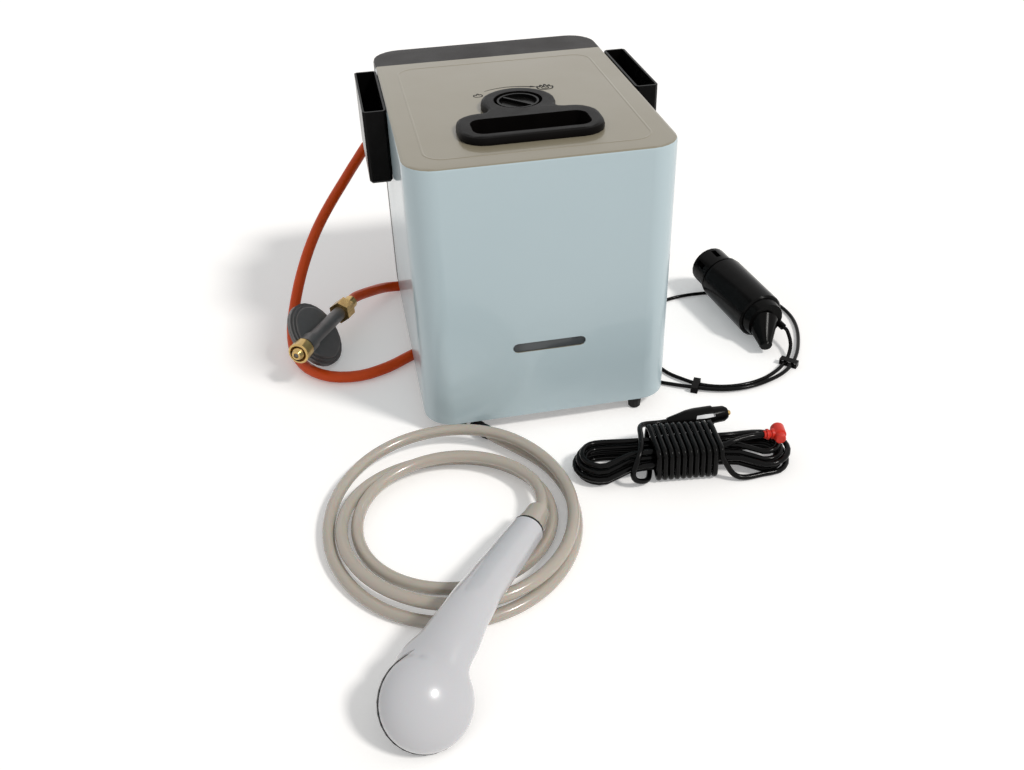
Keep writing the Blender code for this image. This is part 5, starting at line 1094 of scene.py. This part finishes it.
@dataclass
class CarLead:
    """The 12 V lead: a wrapped hank with a car plug and a red plug."""

    diameter: float = 0.0058
    at: Pair = (0.1155, -0.2590)
    heading: float = -6.5
    half: float = 0.112
    step: float = 0.0072
    layer: float = 0.00665
    turns: int = 2
    layers: int = 4
    per_turn: int = 24
    start_turn: float = 23 / 24
    end_turn: float = 3 / 24
    turn_offset: float = 0.25
    drop_turns: float = 0.5
    waist: float = 0.0040
    end: float = 0.0135
    parallel: float = 1.35
    spread_from: float = 0.55
    spread_over: float = 0.45
    wrap_count: int = 11
    wrap_pitch: float = 0.00635
    wrap_clear: float = 0.0011
    wrap_short: int = 4
    point_every: float = 1.2
    plug_at: Triple = (0.1125, -0.2185, 0.027)
    plug_radius: float = 0.0105
    plug_run: float = 0.009
    spring_sides: tuple = ((0, -0.80, 0.60), (0, 0.80, -0.60))
    spring_start: float = 0.0285
    spring_run: float = 0.0215
    spring_sink: float = 0.0006
    spring_bow: float = 0.0019
    spring_half: float = 0.0021
    spring_taper: float = 0.0005
    spring_thick: float = 0.0007
    spring_steps: int = 12

    def build(self) -> None:
        """Draws the lead, skins its plugs and adds the car plug's side springs."""
        on_lead = Skins.skin_all("lead_plug_body", "lead_plug_tip", "red_plug")
        springs = self.side_springs()
        place = Matrix.Translation((*self.at, 0)) @ Matrix.Rotation(math.radians(self.heading), 4, "Z")
        points = [at_case(place @ p) for p in self.route(place)]
        lead = Cord("lead_hank", Coat.black_pvc, self.diameter, roundness=4).lay(points, parts=2)
        Route.length(points)

    def side_springs(self) -> Piece:
        """The two bowed side contacts of the car plug."""
        bm = bmesh.new()
        x0, y0, z0 = self.plug_at
        for side in self.spring_sides:
            direction = Vector(side)
            across = direction.cross(RIGHT)
            rings = []
            for i in range(self.spring_steps + 1):
                share = i / self.spring_steps
                x = x0 + self.spring_start + self.spring_run * share
                out = self.plug_radius - self.spring_sink + self.spring_bow * math.sin(math.pi * share)
                half = across * (self.spring_half - self.spring_taper * abs(2 * share - 1))
                core = Vector((x, y0, z0)) + direction * out
                inner = core - direction * self.spring_thick
                rings.append([at_case(p) for p in (core - half, core + half, inner + half, inner - half)])
            Shop.take(bm, Shop.sweep(rings, "spring"))
        mesh = Shop.mesh_of(bm, "lead_plug_springs")
        return Shop.mount(Shop.show("lead_plug_springs", mesh, Coat.steel_tip), ROOT_BODY, Coat.steel_tip)

    def loop_point(self, turn: float) -> Vector:
        """A point of the hank's long loops, counted in turns."""
        layer, within = divmod(turn, self.turns)
        offset = self.step * (within if int(layer) % 2 else self.turns - within)
        height = self.diameter / 2 + self.diameter + self.wrap_clear + (self.layers - 1) * self.layer
        for change in range(1, self.layers):
            height -= self.layer * Route.ease((turn - change * self.turns) / self.drop_turns + 0.5)
        angle = math.tau * (turn + self.turn_offset)
        run = self.half - self.end - self.turns * self.step
        end, side = math.cos(angle), -math.sin(angle)
        reach = min(1.0, self.parallel * abs(end))
        spread = Route.ease((reach - self.spread_from) / self.spread_over)
        half = self.waist + (self.end - self.waist) * spread + offset
        cap = max(0.0, (abs(end) - 1 / self.parallel) / (1 - 1 / self.parallel))
        along = math.copysign(run * reach + half * cap, end)
        across = math.copysign(half * math.sqrt(max(0.0, 1 - cap**2)), side)
        sag = self.diameter + self.wrap_clear - OFF_FLOOR
        return Vector((along, across, height - sag * spread))

    def wrap_ring(self) -> list[Pair]:
        """One wrap's section, from the front side up and over."""
        low = self.diameter / 2 + self.diameter + self.wrap_clear
        high = low + (self.layers - 1) * self.layer
        half = self.waist + self.turns * self.step
        bend = self.diameter + self.wrap_clear
        corners = ((-half, high, 180), (half, high, 90), (half, low, 0), (-half, low, -90))
        ring = []
        for (y, z, angle), (next_y, next_z, next_angle) in zip(corners, corners[1:] + corners[:1]):
            for part in (0, 45, 90):
                turn = math.radians(angle - part)
                ring.append((y + bend * math.cos(turn), z + bend * math.sin(turn)))
            turn = math.radians(next_angle)
            goal = (next_y + bend * math.cos(turn), next_z + bend * math.sin(turn))
            ring.append(((ring[-1][0] + goal[0]) / 2, (ring[-1][1] + goal[1]) / 2))
        return ring

    def route(self, place: Matrix) -> list[Vector]:
        """The lead's points in the hank's own frame.

        Args:
            place: The hank's frame in the case's frame.

        Returns:
            Points from the red plug to the car plug.
        """
        spacing = self.diameter * self.point_every
        last = self.turns * self.layers - self.end_turn
        loops = Route.sampled(self.loop_point, self.start_turn, last, self.per_turn)
        ring = self.wrap_ring()
        perimeter = sum(math.dist(a, b) for a, b in zip(ring, ring[1:] + ring[:1]))
        wraps = []
        travelled = 0.0
        start_u = self.wrap_count * self.wrap_pitch / 2
        for i in range(self.wrap_count * len(ring) - self.wrap_short):
            here = ring[i % len(ring)]
            wraps.append(Vector((start_u - self.wrap_pitch * travelled / perimeter, *here)))
            travelled += math.dist(here, ring[(i + 1) % len(ring)])
        top = loops[0].z
        head_z = top + 0.0045
        lead_in = Route.smooth(
            [(0.083, -0.002, head_z), (0.073, -0.0028, head_z), (0.058, -0.0065, head_z + 0.0003),
             (0.046, -0.0104, top + 0.0038), (0.038, -0.0112, top + 0.0010), loops[0], loops[1]], spacing,
        )[:-2]
        low = self.diameter / 2 + OFF_FLOOR
        climb = Route.smooth(
            [loops[-2], loops[-1], (0.060, -0.0305, low + 0.0006), (0.051, -0.0300, low + 0.0025),
             (0.0450, -0.0285, 0.0110), (0.0408, -0.0272, 0.0180), (0.0373, -0.0260, 0.0245),
             wraps[0], wraps[1]], spacing,
        )[2:-2]
        plug_tail = place.inverted() @ Vector(self.plug_at)
        toward = (place.inverted().to_3x3() @ RIGHT).normalized()
        over = (
            (0.0016, -0.0100, low), (0.0042, -0.0195, 0.0032), (0.0090, -0.0265, 0.0050),
            (0.0160, -0.0298, 0.0082), (0.0220, -0.0308, 0.0135), (0.0222, -0.0293, 0.0205),
            (0.0180, -0.0245, 0.0285), (0.0130, -0.0140, 0.0360), (0.0100, 0.0, 0.0380),
            (0.0085, 0.0130, 0.0372), (0.0065, 0.0240, 0.0345), (0.0010, 0.0330, 0.0308),
        )
        beyond = [(wraps[-1].x - back, y, z) for back, y, z in over]
        tail = Route.smooth(
            [wraps[-2], wraps[-1], *beyond, plug_tail - toward * self.plug_run, plug_tail], spacing
        )[2:]
        return lead_in + loops + climb + wraps + tail


@dataclass
class HandShower:
    """The hand shower's one-piece white body, its spray plate and its nozzles."""

    sections: tuple = (
        ((-0.0905, -0.3838, 0.0345), 0.0168, 0.0160), ((-0.1149, -0.4192, 0.0428), 0.0178, 0.0166),
        ((-0.1350, -0.4505, 0.0488), 0.0200, 0.0182), ((-0.1552, -0.4794, 0.0468), 0.0236, 0.0192),
        ((-0.1714, -0.4969, 0.0402), 0.0303, 0.0192), ((-0.1768, -0.5100, 0.0340), 0.0345, 0.0176),
    )
    parts: int = 6
    sides: int = 40
    neck_radius: float = 0.0152
    neck_run: float = 0.0301
    spare: float = 0.014
    fullness: float = 0.0007
    rounds: int = 50
    easing: float = 0.5
    rim_inset: float = 0.0009
    cut_gap: float = 0.0022
    cut_end: float = 0.017
    cut_depth: float = 0.08
    head_at: Pair = (-0.1802, -0.5166)
    face_normal: Triple = (-0.25, 0.66, -0.71)
    face_radius: float = 0.0388
    plate: float = 0.0034
    dome: float = 0.028
    dome_lift: float = 0.0005
    dome_sides: int = 72
    voxel: float = 0.0011
    nozzle_rings: tuple = ((0.007, 6), (0.014, 12), (0.021, 18), (0.028, 24))
    nozzle: Triple = (0.0011, 0.0007, 0.0008)
    nozzle_sink: float = 0.0004

    def build(self, hose: ShowerHose) -> None:
        """Builds the body and the nozzles and skins the rest.

        Args:
            hose: The hose that the hand shower is screwed to.
        """
        axis = Vector(hose.axis).normalized()
        start = Vector(hose.nut) + axis * self.neck_run
        out = Vector(self.face_normal).normalized()
        face = Vector((*self.head_at, self.face_radius * math.sqrt(1 - out.z**2) + OFF_FLOOR))
        seat = face - out * (self.plate + TOUCH)
        body = self._cut(self._smoothed(start, axis, seat, out), seat, out)
        Shop.mount(body, ROOT_BODY, Coat.white_plastic, "handset_body")
        Skins.skin_all("spray_plate", "handset_ring", "handset_nut")
        turn = out.to_track_quat("Z", "Y")
        level = face - out * self.nozzle_sink
        spots = []
        for radius, count in self.nozzle_rings:
            for i in range(count):
                a = math.tau * i / count
                spots.append(at_case(level + turn @ Vector((radius * math.cos(a), radius * math.sin(a), 0))))
        Repeater.lay("spray_nozzles", spots, out, self.nozzle, Coat.rubber, sides=8)

    def _rings(self, start: Vector, axis: Vector) -> list[list[Vector]]:
        """The handle's rings of points, from inside its ring to the head.

        Args:
            start: Where the handle leaves its ring.
            axis: The direction in which it leaves.

        Returns:
            The rings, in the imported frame.
        """
        centres = [start - axis * self.spare, start] + [Vector(section[0]) for section in self.sections]
        neck = (self.neck_radius, self.neck_radius)
        sizes = [neck, neck] + [section[1:] for section in self.sections]
        fine = Route.refined(centres, self.parts)
        rings = []
        for i, centre in enumerate(fine):
            ahead = (fine[min(i + 1, len(fine) - 1)] - fine[max(i - 1, 0)]).normalized()
            across = ahead.cross(UP).normalized()
            step, share = divmod(i / self.parts, 1)
            step = int(step)
            before, after = sizes[step], sizes[min(step + 1, len(sizes) - 1)]
            wide, high = (u + (v - u) * Route.ease(share) + self.fullness for u, v in zip(before, after))
            rings.append(Shop.oval(centre, across, across.cross(ahead), (wide, high), self.sides))
        return rings

    def _smoothed(self, start: Vector, axis: Vector, seat: Vector, out: Vector) -> Mesh:
        """The handle and dome flowing into each other, cut square at the handle's ring.

        Args:
            start: Where the handle leaves its ring.
            axis: The direction in which it leaves.
            seat: A point of the plate's seat.
            out: The way the spray face looks.

        Returns:
            The closed mesh.
        """
        bm = Shop.take(bmesh.new(), Shop.sweep(self._rings(start, axis), "handset_loft"))
        wide = self.face_radius - self.rim_inset + self.fullness
        shape = Matrix.Diagonal((wide, wide, self.dome, 1.0))
        bmesh.ops.create_uvsphere(
            bm, u_segments=self.dome_sides, v_segments=self.dome_sides // 2, radius=1.0,
            matrix=self._facing(seat, out, self.dome_lift) @ shape,
        )
        rough = Shop.linked("handset_rough", Shop.poured(bm, "handset_rough"))
        remesh = rough.modifiers.new("one_skin", "REMESH")
        remesh.mode = "VOXEL"
        remesh.voxel_size = self.voxel
        bm = Shop.take(bmesh.new(), Shop.baked(rough, "handset_skin"))
        for _ in range(self.rounds):
            bmesh.ops.smooth_vert(
                bm, verts=bm.verts, factor=self.easing, use_axis_x=True, use_axis_y=True, use_axis_z=True
            )
        trim = bmesh.ops.bisect_plane(
            bm, geom=bm.verts[:] + bm.edges[:] + bm.faces[:], plane_co=at_case(start), plane_no=-axis,
            clear_outer=True,
        )
        rim = [item for item in trim["geom_cut"] if isinstance(item, bmesh.types.BMEdge)]
        bmesh.ops.holes_fill(bm, edges=rim, sides=0)
        return Shop.mesh_of(bm, "handset_whole")

    def _cut(self, mesh: Mesh, seat: Vector, out: Vector) -> Piece:
        """Clears the room in front of the spray face with a blunt cone.

        Args:
            mesh: The body before the cut.
            seat: A point of the plate's seat.
            out: The way the spray face looks.

        Returns:
            The body.
        """
        bm = bmesh.new()
        bmesh.ops.create_cone(
            bm, cap_ends=True, segments=self.dome_sides, radius1=self.face_radius + self.cut_gap,
            radius2=self.cut_end, depth=self.cut_depth, matrix=self._facing(seat, out, self.cut_depth / 2),
        )
        whole = Shop.linked("handset_whole", mesh)
        knife = Shop.linked("face_knife", Shop.mesh_of(bm, "face_knife"))
        cut = whole.modifiers.new("face_cut", "BOOLEAN")
        cut.operation = "DIFFERENCE"
        cut.object = knife
        shell = Shop.baked(whole, "handset_shell")
        bpy.data.objects.remove(knife)
        return Shop.show("handset_shell", shell, Coat.white_plastic, angle=50.0)

    @staticmethod
    def _facing(seat: Vector, out: Vector, lift: float) -> Matrix:
        """The place of a form that looks the way the spray face does, lifted off its seat."""
        turn = out.to_track_quat("Z", "Y").to_matrix().to_4x4()
        return Matrix.Translation(at_case(seat + out * lift)) @ turn


@dataclass
class Case:
    """The case: its skins, the pressed line and marks on its top, and its screws."""

    line_half: float = 0.112
    line_front: float = -0.134
    line_back: float = 0.138
    line_corner: float = 0.020
    line_width: float = 0.0030
    line_height: float = 0.0004
    line_profile: tuple = ((-0.5, 0.0), (-0.26, 0.72), (0.0, 1.0), (0.26, 0.72), (0.5, 0.0))
    corner_steps: int = 10
    sink: float = 0.00002
    mark_thick: float = 0.00012
    flame_parts: int = 5
    small_at: Pair = (-0.035, 0.029)
    large_at: Pair = (0.040, 0.036)
    fine_pen: float = 0.0013
    bold_pen: float = 0.0017
    arc_steps: int = 24
    arc_at: Pair = (-0.026, 0.040)
    arc_run: Pair = (0.051, 0.0015)
    arc_rise: float = 0.0062
    arc_pen: Pair = (0.0006, 0.0014)
    tip: tuple = ((-0.0005, 0.0003, 0.0050), (0.0028, -0.0008, 0.0030), (0.0062, -0.0022, 0.0004))
    screw: Triple = (0.0036, 0.0021, 0.0018)
    screws_x: Pair = (-0.112, 0.112)
    screws_z: Triple = (0.030, 0.160, 0.290)

    def build(self) -> None:
        """Skins the case and adds its pressed line, marks and screws."""
        Skins.skin_all(
            "outer_shell", "rear_housing", "base_plate", "connection_panel", "viewing_window",
            "handle_bezel", "control_knob", "foot_front_left", "foot_front_right", "foot_rear_left",
            "foot_rear_right", "pocket_left", "pocket_right", "water_inlet_fitting",
            "water_outlet_fitting", "lead_socket", "pump_socket",
        )
        line = Shop.show("top_pressed_line", self._line(), Coat.enamel, angle=60.0)
        Shop.mount(line, ROOT_BODY, Coat.enamel)
        marks = Shop.show("top_marks", self._marks(), Coat.ink, angle=30.0)
        Shop.mount(marks, ROOT_BODY, None)
        rear = [at_case((x, CASE_BACK + TOUCH, z)) for x in self.screws_x for z in self.screws_z]
        Repeater.lay("rear_screws", rear, Vector((0, 1, 0)), self.screw, Coat.steel_tip, sides=16)

    def _line(self) -> Mesh:
        """A low rounded ridge that runs round the top inside its edges."""
        r = self.line_corner
        corners = (
            (self.line_half - r, self.line_back - r, 0), (-self.line_half + r, self.line_back - r, 90),
            (-self.line_half + r, self.line_front + r, 180), (self.line_half - r, self.line_front + r, 270),
        )
        rings = []
        for x, y, first in corners:
            for i in range(self.corner_steps + 1):
                a = math.radians(first + 90 / self.corner_steps * i)
                out = Vector((math.cos(a), math.sin(a), 0))
                centre = Vector((x, y, CASE_TOP)) + out * r
                rings.append([
                    at_case(centre + out * self.line_width * u + UP * (self.line_height * v - self.sink))
                    for u, v in self.line_profile
                ])
        return Shop.sweep(rings, "top_pressed_line", closed=True)

    def _stroke(self, bm: BMesh, points: list, widths: list, closed: bool = False) -> None:
        """Prints one line of ink on the top.

        Args:
            bm: Where the line is added.
            points: Its path, x and y from the case's origin, in metres.
            widths: Its width at each point.
            closed: Whether its ends meet.
        """
        last = len(points) - 1
        rings = []
        for i, (x, y) in enumerate(points):
            before = points[i - 1] if closed else points[max(i - 1, 0)]
            after = points[(i + 1) % len(points)] if closed else points[min(i + 1, last)]
            run = Vector((after[0] - before[0], after[1] - before[1], 0)).normalized()
            side = run.cross(UP) * widths[i] / 2
            centre = Vector((x, y, CASE_TOP + self.sink))
            lift = UP * self.mark_thick
            corners = (centre - side, centre + side, centre + side + lift, centre - side + lift)
            rings.append([at_case(p) for p in corners])
        Shop.take(bm, Shop.sweep(rings, "stroke", closed))

    def _flame(self, knots: tuple, centre: Pair) -> list[Pair]:
        """A closed flame outline through knots given in millimetres."""
        spots = [Vector((centre[0] + x / 1000, centre[1] + y / 1000, 0)) for x, y in knots]
        ring = Route.refined([spots[-1]] + spots + spots[:2], self.flame_parts)
        return [(p.x, p.y) for p in ring[self.flame_parts:-self.flame_parts - 1]]

    def _marks(self) -> Mesh:
        """A small flame, an arrow that widens, and a large flame, printed round the knob."""
        bm = bmesh.new()
        small = (
            (0, -5), (-4, -3.5), (-4.6, 0.5), (-2.6, 2.2), (-1.6, 0.6), (0.2, 5.2), (1.6, 1.2),
            (3.0, 2.6), (4.6, -0.5), (3.8, -3.8),
        )
        large = (
            (0, -7.5), (-6, -6), (-8.4, -1), (-7.6, 4.4), (-5.2, 1.2), (-3.8, 7.6), (-1.2, 2.2),
            (1.2, 9.0), (3.2, 2.6), (5.8, 6.4), (6.2, 1.4), (8.6, 1.6), (8.0, -3.4), (5.4, -6.4),
        )
        core = ((0, -4.8), (-3.4, -3.6), (-3.6, -0.6), (-0.6, 1.6), (0.6, -0.8), (3.2, 0.4), (3.4, -3.2))
        for knots, centre, width in (
            (small, self.small_at, self.fine_pen), (large, self.large_at, self.bold_pen),
            (core, self.large_at, self.fine_pen),
        ):
            ring = self._flame(knots, centre)
            self._stroke(bm, ring, [width] * len(ring), closed=True)
        shares = [i / self.arc_steps for i in range(self.arc_steps + 1)]
        (x0, y0), (run, lift) = self.arc_at, self.arc_run
        arc = [(x0 + run * t, y0 + lift * t + self.arc_rise * 4 * t * (1 - t)) for t in shares]
        self._stroke(bm, arc, [self.arc_pen[0] + self.arc_pen[1] * t for t in shares])
        x, y = arc[-1]
        head = [(x + across, y + along) for across, along, _ in self.tip]
        self._stroke(bm, head, [pen for _, _, pen in self.tip])
        return Shop.mesh_of(bm, "top_marks")


def main() -> None:
    """Builds every piece in order: camera and cords first, then skins, finishes and lamps."""
    logging.basicConfig(level=logging.INFO, format="%(message)s")
    Camera().build()
    hose = ShowerHose()
    hose.build()
    for side in (GasSide(), PumpSide(), CarLead()):
        side.build()
    HandShower().build(hose)
    Case().build()
    Skins.dress_rest()
    Studio().build()


if __name__ == "__main__":
    main()
